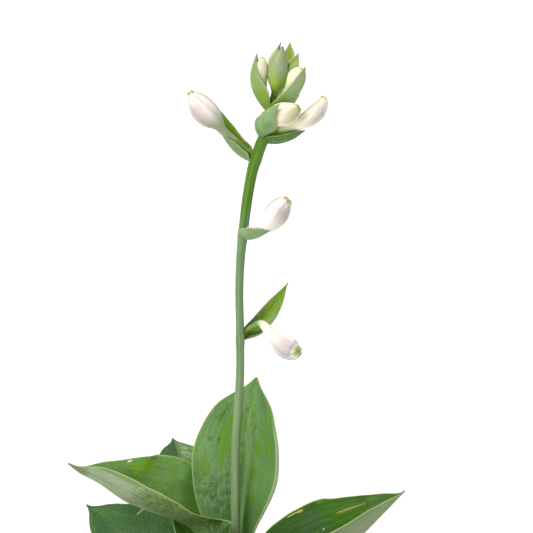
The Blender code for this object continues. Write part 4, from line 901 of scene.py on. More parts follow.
# %% Spines of the buds and bracts
FLOWERS = {
    "left": dict(
        girth=0.0074, tube=0.0026, turn=0.3, half_width=0.007, outline=(0.62, 0.8, 0.6),
        folds=[(20, 70), (20, 60)], foot=0.4,
        bud_line=[(0.0125, -0.0006, 0.4035), (0.0046, 0.0004, 0.4091), (-0.0024, 0.0006, 0.4146),
            (-0.0072, -0.0014, 0.4188), (-0.0113, -0.004, 0.4241), (-0.0175, -0.0062, 0.4302),
            (-0.0228, -0.0073, 0.4365), (-0.0275, -0.008, 0.443)],
        profile=[(0.0, 1.0), (0.18, 1.7), (0.3, 2.3), (0.43, 2.7), (0.5, 3.1), (0.56, 4.7),
            (0.63, 6.7), (0.71, 7.6), (0.81, 7.5), (0.9, 5.8), (0.96, 3.3), (1.0, 0.7)],
        bract=[(0.0113, 0.001, 0.4005), (0.0058, 0.004, 0.402), (-0.0016, 0.0055, 0.4074),
            (-0.008, 0.0062, 0.4166), (-0.0114, 0.0066, 0.4268), (-0.0134, 0.006, 0.4352)],
        face=[(0.1, -0.8, 0.6), (0.25, -0.9, 0.35), (0.3, -0.92, 0.25)],
        nudges=[
            (-1, [(0, 0.8, -0.6, 0.2), (0.1, 4, -2.9, 2.3), (0.2, 6.2, -4, 3.5),
                (0.3, 6.8, -4.2, 3.4), (0.4, 7.0, -4.6, 2.8), (0.5, 5.6, -4.4, 1.6),
                (0.6, 3.6, -3.6, 0), (0.7, 1.6, -1.8, -0.4), (0.85, 0, 0, 0), (1, 0, 0, 0)]),
            (1, [(0, 0, 0, 0), (0.1, 1, 0, 0.6), (0.4, 2.2, 0, 1), (0.6, 2.8, 0, 1.8),
                (0.75, 1.8, 0, 2), (0.88, 0.6, 0, 1.6), (1, 0, 0, 0)]),
        ],
    ),
    "front": dict(
        girth=0.0066, tube=0.0022, face=[(0.2, 0.5, 0.8), (0.6, 0.75, 0.2), (0.6, 0.8, -0.3)],
        half_width=0.0098, outline=(0.58, 0.7, 0.6), folds=[(5, 85), (5, 85)], foot=0.45,
        keeled=0.2,
        bud_line=[(0.0175, -0.0003, 0.4188), (0.0195, -0.0075, 0.4245), (0.0265, -0.0112, 0.429),
            (0.0328, -0.012, 0.4308), (0.039, -0.012, 0.4342)],
        bract=[(0.0162, -0.002, 0.415), (0.0162, -0.0115, 0.4203), (0.018, -0.0185, 0.4272),
            (0.0216, -0.0205, 0.4324), (0.0268, -0.0205, 0.4362)],
    ),
    "right": dict(
        girth=0.0044, tube=0.0022, face=[(-0.2, -0.2, 0.9), (-0.3, -0.1, 0.9)], half_width=0.0085,
        outline=(0.58, 0.75, 0.6), folds=[(30, 65), (30, 65)], foot=0.4,
        bud_line=[(0.0185, 0.0, 0.416), (0.025, -0.001, 0.4188), (0.0335, -0.002, 0.422),
            (0.042, -0.003, 0.425), (0.0484, -0.004, 0.4298), (0.0522, -0.004, 0.435),
            (0.054, -0.004, 0.4402)],
        bract=[(0.018, -0.001, 0.4122), (0.0265, -0.002, 0.4119), (0.035, -0.003, 0.4144),
            (0.0426, -0.003, 0.4194)],
        nudges=[
            (-1, [(0, 0, 0, 0), (0.08, 0, 0, 1.6), (0.2, 0, 0, 2), (0.35, 0, 0, 1.6),
                (0.6, 0, 0, 0), (1, 0, 0, 0)]),
            (1, [(0, 0, 0, 0), (0.2, 0, 0, -0.6), (0.5, 0, 0, -0.5), (0.7, 0, 0, 0),
                (0.9, 0, 0, 0.4), (1, 0, 0, 0)]),
        ],
    ),
    "upper_right": dict(
        girth=0.0044, tube=0.0016, face=[(-0.3, 0.5, 0.8), (-0.6, 0.7, 0.4), (-0.6, 0.75, 0.3)],
        half_width=0.007, outline=(0.52, 0.75, 0.75), folds=[(14, 58), (14, 58)], foot=0.15,
        bud_line=[(0.0236, -0.001, 0.436), (0.0301, -0.0043, 0.4411), (0.0341, -0.007, 0.4468),
            (0.0375, -0.0078, 0.4528), (0.0406, -0.0078, 0.4572)],
        bract=[(0.0217, -0.002, 0.4323), (0.029, -0.01, 0.4374), (0.037, -0.0145, 0.443),
            (0.0414, -0.0142, 0.4504), (0.0422, -0.0108, 0.458)],
        nudges=[
            (-1, [(0, 1.4, 0, -1.2), (0.1, 5, 3, -2.8), (0.25, 6, 4, -3.2), (0.4, 3.2, 3, -2.2),
                (0.6, 0.4, 1, 0), (1, 0, 0, 0)]),
            (1, [(0, 0, 0, 0), (0.15, 0.4, 0, -1.8), (0.3, 0.8, 0, -2.8), (0.45, 0.6, 0, -2.4),
                (0.6, 0.4, 0, -1.2), (0.8, 0, 0, 0), (1, 0, 0, 0)]),
        ],
    ),
    "upper_left": dict(
        girth=0.0029, tube=0.0014, half_width=0.0078, outline=(0.52, 0.75, 0.65),
        folds=[(20, 75), (20, 75)], foot=0.22,
        bud_line=[(0.0215, 0.0005, 0.4335), (0.018, 0.0, 0.4405), (0.0168, -0.0006, 0.449),
            (0.0164, -0.001, 0.457), (0.0164, -0.001, 0.464)],
        bract=[(0.0205, 0.001, 0.43), (0.0142, 0.0016, 0.4378), (0.0102, 0.0015, 0.4465),
            (0.01, 0.0011, 0.4557), (0.0132, 0.0008, 0.466)],
        face=[(0.75, -0.3, 0.5), (0.92, -0.3, 0.1), (0.92, -0.3, 0.0)],
        nudges=[
            (-1, [(0, 0, 0, 0), (0.1, 1.4, 0, 0), (0.2, 3.4, -0.6, 0), (0.3, 4.6, -1, 0),
                (0.4, 5, -1, 0), (0.5, 4, -0.6, 0), (0.7, 1.2, 0, 0), (0.9, 0, 0, 0),
                (1, 0, 0, 0)]),
        ],
    ),
    "middle": dict(
        girth=0.007, tube=0.0016, face=[(-0.2, 0.35, 0.9), (-0.2, 0.35, 0.9)], half_width=0.0078,
        outline=(0.58, 0.75, 0.6), folds=[(25, 72), (25, 72)], foot=0.36,
        bud_line=[(0.004, -0.001, 0.3574), (0.0095, -0.006, 0.3588), (0.0155, -0.0088, 0.361),
            (0.0218, -0.0092, 0.3653), (0.0274, -0.0098, 0.3724), (0.0322, -0.0118, 0.3782)],
        bract=[(0.002, 0.0, 0.3544), (0.0074, -0.0082, 0.3534), (0.0142, -0.0123, 0.3551),
            (0.0222, -0.0128, 0.3597)],
        nudges=[
            (-1, [(0, 0, 0, 0), (0.2, 0.6, 0, 0.8), (0.4, 2, 0, 1.4), (0.6, 1, 0, 0.4),
                (1, 0, 0, 0)]),
            (1, [(0, 1.8, 0, -0.6), (0.15, 1.8, 0, -0.6), (0.3, 0.8, 0, 0), (0.5, 0, 0, 0.4),
                (1, 0, 0, 0)]),
        ],
    ),
    "lower": dict(
        girth=0.0066, tube=0.002, half_width=0.007, outline=(0.6, 0.8, 0.6),
        folds=[(35, 55), (20, 34), (10, 20)], foot=0.45,
        bud_line=[(0.003, -0.001, 0.293), (0.0105, -0.004, 0.298), (0.016, -0.006, 0.3),
            (0.021, -0.007, 0.2947), (0.0266, -0.008, 0.2891), (0.0322, -0.008, 0.2853),
            (0.036, -0.0092, 0.2836), (0.0388, -0.0118, 0.2838)],
        bract=[(0.0025, 0.001, 0.289), (0.0095, 0.003, 0.2942), (0.016, 0.004, 0.3015),
            (0.0245, 0.003, 0.3125), (0.0325, 0.0, 0.325)],
        face=[(-0.2, -0.8, 0.6), (0.3, -0.95, 0.1), (0.35, -0.95, -0.1)],
        nudges=[
            (-1, [(0, 1, 0, -1.6), (0.15, 1.5, 0, -2.2), (0.3, 1.2, 0, -1.6), (0.5, 0.5, 0, -0.6),
                (0.7, 0, 0, 0), (1, 0, 0, 0)]),
        ],
    ),
    "back": dict(
        girth=0.0046, tube=0.0018, half_width=0.0078, outline=(0.55, 0.75, 0.65),
        folds=[(25, 70), (25, 70)], foot=0.35,
        bud_line=[(0.0205, 0.002, 0.4265), (0.0225, 0.009, 0.4305), (0.0255, 0.015, 0.435),
            (0.0285, 0.019, 0.4405), (0.0305, 0.021, 0.446)],
        bract=[(0.0205, 0.002, 0.4227), (0.0236, 0.013, 0.4247), (0.0288, 0.0225, 0.4302),
            (0.0322, 0.027, 0.439), (0.033, 0.028, 0.448)],
        face=[(-0.1, -0.4, 0.9), (-0.3, -0.6, 0.7), (-0.3, -0.85, 0.4)],
    ),
    "top_front": dict(
        girth=0.0026, tube=0.0011, face=[(0.1, 0.9, 0.3), (0.05, 1, 0), (0, 1, 0)],
        half_width=0.0084, outline=(0.45, 0.7, 0.8), folds=[(1, 86), (1, 86)], foot=0.15,
        keeled=0.1,
        bud_line=[(0.0243, 0.001, 0.445), (0.0256, -0.002, 0.45), (0.0264, -0.0028, 0.456),
            (0.0272, -0.0026, 0.4615)],
        bract=[(0.0243, 0.001, 0.4395), (0.0249, -0.0074, 0.4466), (0.026, -0.0088, 0.4574),
            (0.0288, -0.005, 0.4703)],
    ),
    "top_left": dict(
        girth=0.0013, tube=0.0008, face=[(0.8, -0.1, 0.5), (0.95, -0.3, 0), (0.9, -0.3, -0.2)],
        half_width=0.0054, outline=(0.5, 0.7, 0.75), folds=[(18, 65), (18, 65)], foot=0.2,
        bud_line=[(0.0248, 0.004, 0.45), (0.0236, 0.0046, 0.4545), (0.0239, 0.0049, 0.4585),
            (0.0246, 0.0049, 0.4615)],
        bract=[(0.0242, 0.004, 0.4424), (0.0203, 0.0076, 0.4509), (0.0208, 0.0078, 0.4618),
            (0.0279, 0.006, 0.4726)],
    ),
    "top_back": dict(
        girth=0.0018, tube=0.0009, face=[(-0.1, -0.7, 0.6), (-0.1, -1, 0), (-0.1, -1, 0)],
        half_width=0.006, outline=(0.5, 0.7, 0.75), folds=[(18, 65), (18, 65)], foot=0.1,
        bud_line=[(0.0264, 0.005, 0.454), (0.0288, 0.0085, 0.4572), (0.0302, 0.0098, 0.461),
            (0.031, 0.0098, 0.4645)],
        bract=[(0.0268, 0.005, 0.448), (0.0304, 0.0142, 0.4546), (0.033, 0.0152, 0.4629),
            (0.0334, 0.011, 0.4722)],
    ),
    "top_right": dict(
        girth=0.0017, tube=0.0009, half_width=0.0047, outline=(0.5, 0.7, 0.75),
        folds=[(18, 60), (18, 60)], foot=0.15,
        bud_line=[(0.0262, 0.0025, 0.4505), (0.0308, 0.0028, 0.4548), (0.0334, 0.003, 0.459),
            (0.0346, 0.003, 0.4625)],
        bract=[(0.0254, 0.0022, 0.4434), (0.0336, 0.0027, 0.4488), (0.0381, 0.0036, 0.4574),
            (0.0384, 0.003, 0.466)],
        face=[(-0.6, -0.2, 0.8), (-0.9, -0.35, 0.1), (-0.9, -0.35, 0)],
        nudges=[
            (1, [(0, 0, 0, 0), (0.1, -1, 0, 0), (0.3, -2.6, -0.8, 0.8), (0.5, -3.2, -1, 1.4),
                (0.7, -3.5, -1, 2.2), (0.9, -1.5, 0, 1.2), (1, 0, 0, 0)]),
        ],
    ),
}

# %% [markdown]
# ## Finish of the petals
# The petals are white with a breath of mauve, and streaked with very fine veins. They turn
# yellow-green at their tips and down the tube. Young buds are creamier and greener. A darker flush
# on one side of a bud is partly the petals' own mauve and partly painted shade on the side that the
# light misses. Painted shade also darkens each petal where it runs under the next, and the inner
# petals, and a darker line along the petal edges is partly their own colour and partly painted shade
# in the crease. The streaks are noise that is stretched along the bud and read round it, so that no
# seam shows.

# %% The petal finish
def petal_finish(
    name, seed, white, flush_and_shade, tip, tube, young=0.0, green_until=0.12, flush_and_shade_side=(0.3, 0.95),
    flush_and_shade_span=(0.4, 0.62, 0.8, 0.99), underlap_shade=0.6, streaked=0.5, tipped=0.965, base=(0.16, 0.28, 0.04),
    tube_span=(0.5, 0.78),
):
    petal = Finish(
        name, IOR=1.4, Subsurface_Weight=0.25, Subsurface_Scale=0.004,
        Subsurface_Radius=(1.0, 0.75, 0.6),
    )
    along, east, north = petal.kept("place")
    round_it = petal.vector(east * 3.5, north * 3.5, along * 2.0 + seed)
    veins = petal.clouds(petal.vector(east * 11.0, north * 11.0, along * 1.6 + seed), 1.0, 2.0)
    streaks = petal.clouds(round_it, 1.0, 4.0)
    broad = petal.clouds(petal.vector(east * 0.9, north * 0.9, along * 3.0 + seed), 1.0, 2.0)
    # The flush on one side: partly the petals' own mauve, partly painted shade on the side the light
    # misses.
    shaded = (east * flush_and_shade_side[0] + north * flush_and_shade_side[1] + (streaks - 0.5) * 0.9).step(0.35, 0.95)
    begins, whole, fades, ends = flush_and_shade_span
    shaded = shaded * along.step(ends, fades) * along.step(begins, whole)
    petal.coat = petal.blend(white, flush_and_shade, shaded * 0.72)
    petal.paint(flush_and_shade, (broad * 0.3 + veins * 0.8).step(0.54, 0.68) * streaked)
    edge, lap, inner = petal.kept("petal")
    # Painted shade where each petal runs under the next, and on the inner petals.
    under = lap.step(0.4, 0.98) * along.step(0.42, 0.6) * along.step(1.0, 0.9)
    under = under * underlap_shade + inner.step(0.5, 1.0) * along.step(0.42, 0.6) * 0.2
    petal.paint(flush_and_shade, under)
    # A darker line along each petal edge: partly its own colour, partly painted shade in the crease.
    petal.paint(flush_and_shade, edge * along.step(0.45, 0.65) * 0.5)
    tubed = along.step(tube_span[1] + 0.05 * young, tube_span[0])
    petal.paint(tube, tubed * (0.8 + streaks * 0.2))
    petal.paint(tip, edge * along.step(0.8, 0.95) * 0.6)
    petal.paint(base, along.step(green_until + 0.05, green_until - 0.05))
    tipward = along + (streaks - 0.5) * 0.1
    petal.paint(tip, tipward.step(tipped - 0.05 * young, tipped + 0.03))
    roughness = 0.4 + streaks * 0.16
    return petal.finish(roughness, veins * 0.5 + streaks * 0.5 - edge * 0.4, 0.00025)


# %% Shape a bud
BUD_RINGS = 110
BUD_SIDES = 108
PEDICEL_RADIUS = 0.001
PETAL_STEP = 0.085
PETAL_KEEL = 0.02
PETAL_TWIST = 0.13
INNER_PETALS = 0.42
SEAM_BREADTH = 0.05


def bud_radii(shares, girth, tube, blunt, late):
    slim = PEDICEL_RADIUS + (tube - PEDICEL_RADIUS) * soft_step(0.05, 0.45, shares)
    slim = slim * (1.0 - soft_step(0.75, 1.0, shares))
    swell = np.sin(math.pi * shares**late).clip(0.0)
    club = girth * np.where(shares**late < 0.5, swell**0.8, swell**blunt)
    return np.sqrt(slim**2 + club**2) + TIP_HALF_WIDTH


def profile_radii(shares, profile):
    """Radii read between (share, mm) pairs, with their corners rounded."""
    at, sizes = np.array(profile).T
    near = np.clip(shares[None, :] + np.linspace(-0.035, 0.035, 9)[:, None], 0.0, 1.0)
    return np.interp(near, at, sizes).mean(axis=0) / 1000


def bud(name, line, girth, tube, skin, slot, seed, blunt, late, turn, profile):
    turns = np.linspace(0.0, 1.0, BUD_RINGS)
    shares = 0.5 * turns + 0.5 * np.sin(0.5 * math.pi * turns)
    angle = np.arange(BUD_SIDES) / BUD_SIDES
    open_end = 0.1 * girth + TIP_HALF_WIDTH
    radii = profile_radii(shares, profile) if profile else bud_radii(shares, girth, tube, blunt, late)
    radii = np.sqrt(radii**2 + open_end**2 * soft_step(0.9, 1.0, shares))
    turn = 0.2 * seed if turn is None else turn
    lap = (3.0 * (angle[None, :] + PETAL_TWIST * shares[:, None]) + turn) % 1.0
    inner = (lap + INNER_PETALS) % 1.0
    swollen = soft_step(0.42, 0.72, shares)[:, None]
    raised = PETAL_STEP * (0.5 - lap) + 0.35 * PETAL_STEP * (0.5 - inner)
    keel = PETAL_KEEL * np.exp(-(((lap - 0.5) / 0.1) ** 2))
    closing = soft_step(0.88, 1.0, shares)[:, None]
    radii = radii[:, None] * (1.0 + (raised + keel) * swollen)
    radii = radii * (1.0 + 0.03 * ripple(angle[None, :] + 0 * shares[:, None], seed, 1.0) * swollen)
    outer_tips = np.cos(2 * math.pi * (lap - 0.5)).clip(0.0) ** 1.5
    inner_tips = np.cos(2 * math.pi * (inner - 0.5)).clip(0.0) ** 2
    forward = closing * girth * (0.11 * outer_tips + 0.05 * inner_tips - 0.05)
    centres = curve_through(line, shares)
    points, around = ring_points(centres, radii, forward)
    places = place_of(points.shape[:2], shares[:, None], np.cos(around), np.sin(around))
    flat, faces, kept = tube_mesh(points, places, dimple=0.1 * girth)
    seam, inner_seam = (
        np.exp(-((np.minimum(at, 1 - at) / SEAM_BREADTH) ** 2)) for at in (lap, inner)
    )
    own = np.stack([(seam + 0.6 * inner_seam) * swollen, lap, inner], axis=2).reshape(-1, 3)
    own = np.vstack([own, [(0.0, 0.5, 0.5), (1.0, 0.5, 0.5)]])
    piece(name + "_fine", flat, faces, skin, slot, [name], sharp=70, place=kept, petal=own)


# %% [markdown]
# ## Finish of the bracts
# A bract is waxy grey-green outside and clear bright green inside. Its margin is a thin pale line
# that turns grey-purple towards the tip, as if bruised. The same place attribute that carries the
# veins of a leaf carries these bands.

# %% The bract finish
def bract_finish(
    name, seed, wide, long, inner=(0.17, 0.32, 0.026), outer=(0.215, 0.335, 0.15), lower=None,
    rolled=None, bruise=0.6, bruised=(0.23, 0.225, 0.2), bruise_from=0.86,
):
    bract = Finish(name, IOR=1.42, Subsurface_Weight=0.08, Subsurface_Scale=0.003)
    along, across, side = bract.kept("place")
    reach = abs(across)
    x, y = across * wide, along * long
    streaks = bract.patches(x, y, (0.9, 9.0), seed, 4.0)
    broad = bract.patches(x, y, (5.0, 7.0), seed + 3.0)
    fine_vein = abs((reach * VEINS_EACH_SIDE).fract() - 0.5).step(0.3, 0.5)
    within = bract.blend(inner, tuple(0.62 * part for part in inner), streaks.step(0.4, 0.66) * 0.6)
    waxy = bract.blend(outer, tuple(1.3 * part for part in outer), broad.step(0.5, 0.26) * 0.6)
    rubbed = (broad * 0.6 + streaks * 0.45).step(0.46, 0.68) * 0.7
    waxy = bract.blend(waxy, lower or (0.15, 0.29, 0.07), rubbed)
    if lower:
        waxy = bract.blend(waxy, lower, (along + (streaks - 0.5) * 0.3).step(0.62, 0.3))
    waxy = bract.blend(waxy, (0.1, 0.2, 0.05), fine_vein * 0.16)
    if rolled:
        band = reach - along * 0.8 + (streaks - 0.5) * 0.2
        within = bract.blend(within, rolled, band.step(0.28, 0.4) * 0.9)
    bract.coat = bract.blend(waxy, within, side.step(-0.3, 0.3))
    tinted = along * 0.8 + reach * 0.45 + (streaks - 0.5) * 0.25
    bract.paint(bruised, tinted.step(bruise_from, bruise_from + 0.3) * bruise)
    bract.paint((0.36, 0.44, 0.24), reach.step(0.9, 0.97) * 0.55)
    roughness = 0.42 + broad * 0.18
    return bract.finish(roughness, fine_vein * -0.4 + streaks * 0.5, 0.00015)


# %% Make the buds and bracts
YOUNG = dict(
    white=(0.8, 0.77, 0.52), flush_and_shade=(0.62, 0.6, 0.36), tip=(0.36, 0.45, 0.08), tube=(0.52, 0.6, 0.28)
)
# The flush on one side is painted shade on the right and front buds, and partly the petals' own mauve and
# partly painted shade on the others.
BUD_LOOKS = {
    "left": dict(
        white=(0.97, 0.91, 0.85), flush_and_shade=(0.46, 0.37, 0.37), tip=(0.36, 0.31, 0.08),
        # The left bud's tube colour is darker: partly its own green, partly painted shade from its bract.
        tube=(0.25, 0.32, 0.14), flush_and_shade_side=(0.8, 0.62), flush_and_shade_span=(0.46, 0.58, 0.82, 0.98),
        underlap_shade=0.15, streaked=0.25, green_until=0.27, base=(0.15, 0.26, 0.04),
    ),
    "middle": dict(
        white=(0.88, 0.8, 0.79), flush_and_shade=(0.46, 0.38, 0.38), tip=(0.42, 0.38, 0.13),
        tube=(0.84, 0.8, 0.73), flush_and_shade_side=(-0.7, 0.7),
    ),
    "lower": dict(
        white=(0.88, 0.83, 0.81), flush_and_shade=(0.54, 0.45, 0.47), tip=(0.34, 0.42, 0.12),
        tube=(0.84, 0.88, 0.72), green_until=0.33,
    ),
    "upper_right": dict(
        white=(0.97, 0.94, 0.72), flush_and_shade=(0.88, 0.86, 0.5), tip=(0.4, 0.48, 0.08),
        tube=(0.6, 0.66, 0.34),
    ),
    "upper_left": dict(
        white=(0.78, 0.74, 0.57), flush_and_shade=(0.64, 0.61, 0.4), tip=(0.4, 0.48, 0.08),
        tube=(0.46, 0.56, 0.22),
    ),
    "front": dict(
        white=(0.93, 0.88, 0.72), flush_and_shade=(0.52, 0.47, 0.28), tip=(0.34, 0.44, 0.05),
        tube=(0.9, 0.88, 0.68), flush_and_shade_side=(-0.3, 0.95), flush_and_shade_span=(0.55, 0.88, 1.5, 2.0),
        tipped=0.94,
    ),
    "top_back": dict(
        white=(0.5, 0.58, 0.18), flush_and_shade=(0.44, 0.52, 0.14), tip=(0.3, 0.4, 0.06),
        tube=(0.4, 0.5, 0.12),
    ),
    "top_right": dict(
        white=(0.4, 0.5, 0.14), flush_and_shade=(0.34, 0.44, 0.1), tip=(0.22, 0.32, 0.05),
        tube=(0.3, 0.4, 0.1),
    ),
    "right": dict(
        white=(0.98, 0.94, 0.82), flush_and_shade=(0.46, 0.39, 0.33), tip=(0.52, 0.5, 0.12),
        # Painted light: the tube and the green base are lightened where the front bud and the hood shade
        # them.
        tube=(0.96, 0.98, 0.64), flush_and_shade_side=(-0.7, 0.68), flush_and_shade_span=(0.5, 0.72, 0.8, 0.99),
        underlap_shade=0.05, streaked=0.1, green_until=0.2, base=(0.3, 0.5, 0.03), tube_span=(0.3, 0.6),
    ),
}
BRACT_LOOKS = {
    "left": dict(outer=(0.135, 0.25, 0.062), inner=(0.2, 0.38, 0.02)),
    "front": dict(
        outer=(0.23, 0.345, 0.16), bruise=0.8, bruised=(0.36, 0.35, 0.09), bruise_from=0.74,
    ),
    # Painted light: the inside is a bright green where it lies in the shade of the hood and the front bud,
    # standing for light shining through it.
    "right": dict(outer=(0.062, 0.138, 0.018), inner=(0.44, 0.84, 0.01), bruise=0.4),
    "upper_right": dict(
        outer=(0.23, 0.33, 0.13), lower=(0.185, 0.34, 0.06), bruise=0.8, bruise_from=0.72,
    ),
    "upper_left": dict(outer=(0.245, 0.325, 0.13), lower=(0.185, 0.325, 0.024), bruise=0.7),
    "lower": dict(
        inner=(0.19, 0.35, 0.022), outer=(0.19, 0.3, 0.14), rolled=(0.14, 0.235, 0.12), bruise=0.1,
    ),
    "top_front": dict(
        outer=(0.28, 0.325, 0.2), lower=(0.26, 0.4, 0.04), bruise=0.8, bruise_from=0.8,
    ),
    "top_left": dict(outer=(0.44, 0.59, 0.18), lower=(0.3, 0.46, 0.06), bruise=0.8),
    # Painted light: the inside, which lies in shade, is lightened to yellow-green.
    "top_back": dict(inner=(0.63, 0.8, 0.19), outer=(0.3, 0.42, 0.1), bruise=0.4),
    "top_right": dict(outer=(0.4, 0.57, 0.14), lower=(0.34, 0.53, 0.07), bruise=0.9),
}
BLUNT_AND_LATE = {
    "middle": (0.5, 1.8), "lower": (0.5, 3.4), "front": (0.6, 1.8), "right": (0.5, 2.0),
}
USUAL_END = (0.65, 2.8)
BRACT_ROWS, BRACT_COLUMNS = 64, 4 * 2 * VEINS_EACH_SIDE


def flower(name, seed, bud_line, girth, tube, bract, turn=None, profile=None, **shape):
    young = name.startswith("top")
    look = BUD_LOOKS.get(name, dict(YOUNG, young=float(young)))
    skin = petal_finish("petals_" + name, float(seed), **look)
    slot = "young_bud" if young else "bud"
    end = BLUNT_AND_LATE.get(name, USUAL_END)
    bud("bud_" + name, bud_line, girth, tube, skin, slot, seed, *end, turn, profile)
    surface, over, under, place = blade_sheet(
        bract, rows=BRACT_ROWS, columns=BRACT_COLUMNS, thickness=BRACT_THICKNESS, seed=seed,
        cusp=(0.5, 0.1), curl=0.00025, **shape
    )
    long = 1000 * np.linalg.norm(np.diff(surface[:, BRACT_COLUMNS // 2], axis=0), axis=1).sum()
    held = "bract_" + name
    look = BRACT_LOOKS.get(name, {})
    leafy = bract_finish(held, float(seed), 1000 * shape["half_width"], long, **look)
    blade_piece(held + "_fine", surface, over, under, place, leafy, "bract", [held])


for number, (flower_name, flower_shape) in enumerate(FLOWERS.items()):
    flower(flower_name, 7 * number + 2, **flower_shape)

# %% [markdown]
# ## The crown, its roots and its sheaths
# The leaves rise from a short thick rootstock that shows just over the soil, with dry papery sheaths
# round the stalks and pale roots going down. The crown is turned as a lumpy profile, and its roots
# are tubes in the same piece. The sheaths are small blades that wrap the clump.

# %% Shape the crown
CROWN_RADIUS = 0.0215
CROWN_DEPTH = 0.034
ROOT_COUNT = 7


def lathe(profile, sides, shape_by):
    """Points and faces of a form turned round +Z, from the axis and back to it."""
    profile = np.asarray(profile, float)
    turns = even_turns(sides)
    rings = []
    for radius, height in profile[1:-1]:
        reach, lift = shape_by(turns, radius, height)
        rings.append(np.stack([reach * np.cos(turns), reach * np.sin(turns), lift + 0 * turns], axis=1))
    return closed_rings(np.array(rings), [(0.0, 0.0, profile[0][1]), (0.0, 0.0, profile[-1][1])])


def crown_finish():
    root = Finish("crown_skin", IOR=1.42)
    at = root.position()
    lumps = root.clouds(at, 160.0, 4.0)
    fibres = root.clouds(at * (1.0, 1.0, 0.2), 900.0, 3.0)
    root.coat = root.blend((0.46, 0.38, 0.22), (0.2, 0.13, 0.07), lumps.step(0.42, 0.66))
    root.paint((0.62, 0.56, 0.4), fibres.step(0.56, 0.72) * 0.6)
    return root.finish(0.62 + lumps * 0.25, lumps * 0.6 + fibres * 0.5, 0.0006)


def crown():
    bottom = CROWN_TOP - CROWN_DEPTH
    shares = np.linspace(0.0, 1.0, 40)
    outer = curve_through([
        (0.3 * CROWN_RADIUS, 0, CROWN_TOP), (0.9 * CROWN_RADIUS, 0, CROWN_TOP),
        (0.985 * CROWN_RADIUS, 0, CROWN_TOP - 0.0015), (0.98 * CROWN_RADIUS, 0, CROWN_TOP - 0.01),
        (0.78 * CROWN_RADIUS, 0, CROWN_TOP - 0.022), (0.45 * CROWN_RADIUS, 0, bottom),
    ], shares)
    wall = [(radius, height) for radius, _, height in outer[::-1]]
    profile = [(0.0, bottom)] + wall + [(0.0, CROWN_TOP)]

    def lumpy(turns, radius, height):
        rough = np.array([
            noise.fractal(Vector((math.cos(t) * radius, math.sin(t) * radius, height)) * 190.0, 0.8, 2.0, 4)
            for t in turns
        ])
        low = 0.0006 * rough.clip(-1.0, 1.0)
        reach = 0.99 * radius + low.clip(-1.0, 0.0002)
        return reach, height - 0.0005 + 0.5 * low.clip(-1, 0.0008)

    points, faces = lathe(profile, 160, lumpy)
    for number in range(ROOT_COUNT):
        azimuth = 2 * math.pi * (number + 0.35 * math.sin(2.1 * number)) / ROOT_COUNT
        out = np.array([math.cos(azimuth), math.sin(azimuth)])
        reach = 0.034 + 0.004 * math.sin(3.7 * number)
        line = [
            (*(0.006 * out), CROWN_TOP - 0.02),
            (*(0.5 * reach * out), CROWN_TOP - 0.03 - 0.003 * (number % 2)),
            (*(0.9 * reach * out), CROWN_TOP - 0.05),
            (*(reach * out), CROWN_TOP - 0.078 - 0.004 * (number % 3)),
        ]
        shares = np.linspace(0.0, 1.0, 40)
        radii = np.interp(shares, np.linspace(0, 1, 5), [0.0024, 0.0021, 0.0017, 0.0013, 0.0009])
        radii = radii[:, None] * (1.0 + 0.08 * ripple(shares, number, 9.0))[:, None] * np.ones((1, 20))
        tube, _ = ring_points(curve_through(line, shares), radii)
        flat, more, _ = tube_mesh(tube, np.zeros_like(tube))
        faces += [tuple(corner + len(points) for corner in face) for face in more]
        points = np.vstack([points, flat])
    piece("crown_fine", points, faces, crown_finish(), "crown", ["crown"])


crown()


# %% Wrap the clump in sheaths
def sheath_finish():
    paper = Finish("dry_sheath", IOR=1.4)
    along, across, side = paper.kept("place")
    fibres = paper.clouds(paper.vector(across * 14.0, along * 2.0, side), 1.0, 4.0)
    patches = paper.clouds(paper.vector(across * 2.0, along * 3.0, side + 4.0), 1.0, 3.0)
    paper.coat = paper.blend((0.42, 0.31, 0.17), (0.18, 0.1, 0.05), fibres.step(0.42, 0.62))
    paper.paint((0.3, 0.34, 0.14), along.step(0.45, 0.0) * patches.step(0.35, 0.6) * 0.6)
    return paper.finish(0.55 + fibres * 0.25, fibres, 0.0003)


SHEATH_THICKNESS = 0.0004
SHEATHS = [(0.0192, 20, 0.024, 0.0075), (0.0195, 74, 0.017, 0.006), (0.0193, 148, 0.022, 0.0072),
           (0.0194, 205, 0.016, 0.0065), (0.0192, 262, 0.026, 0.0076), (0.0194, 326, 0.019, 0.007)]
paper_skin = sheath_finish()
for number, (radius, azimuth, tall, wide) in enumerate(SHEATHS):
    out = outward(azimuth)
    bottom = CROWN_TOP - 0.002
    spine = [(*(radius * out), bottom), (*(1.01 * radius * out), bottom + 0.4 * tall),
             (*(1.08 * radius * out), bottom + 0.8 * tall), (*(1.22 * radius * out), bottom + tall)]
    surface, over, under, place = blade_sheet(
        spine, face=[(*-out, 0.1), (*-out, 0.3)], half_width=wide, outline=(0.6, 0.8, 0.5),
        folds=[(12, 62), (12, 55)], rows=48, columns=48, thickness=SHEATH_THICKNESS, seed=70 + number,
        foot=0.5, cusp=(0.4, 0.06), curl=0.0009,
    )
    blade_piece(f"sheath_{number}", surface, over, under, place, paper_skin, "crown", [])
print(len(SHEATHS), "sheaths round the clump")

# %% [markdown]
# ## The soil
# Potting soil is dark and loose, with crumbs, bits of bark and white grains of perlite. Its body is
# a turned form with a rough top and a hole for the crown, and hundreds of small chunks lie on it.
# Particles could scatter them, but chunks placed in code stay put and can be fused into one mesh.

# %% Finish and body of the soil
POT_HEIGHT = 0.13
POT_RIM_RADIUS = 0.08
POT_FOOT_RADIUS = 0.054
POT_WALL = 0.006
POT_FLOOR = 0.008
SOIL_LEVEL = 0.118
SOIL_INSET = POT_WALL + 0.0006
SOIL_ROUGHNESS = 0.0011


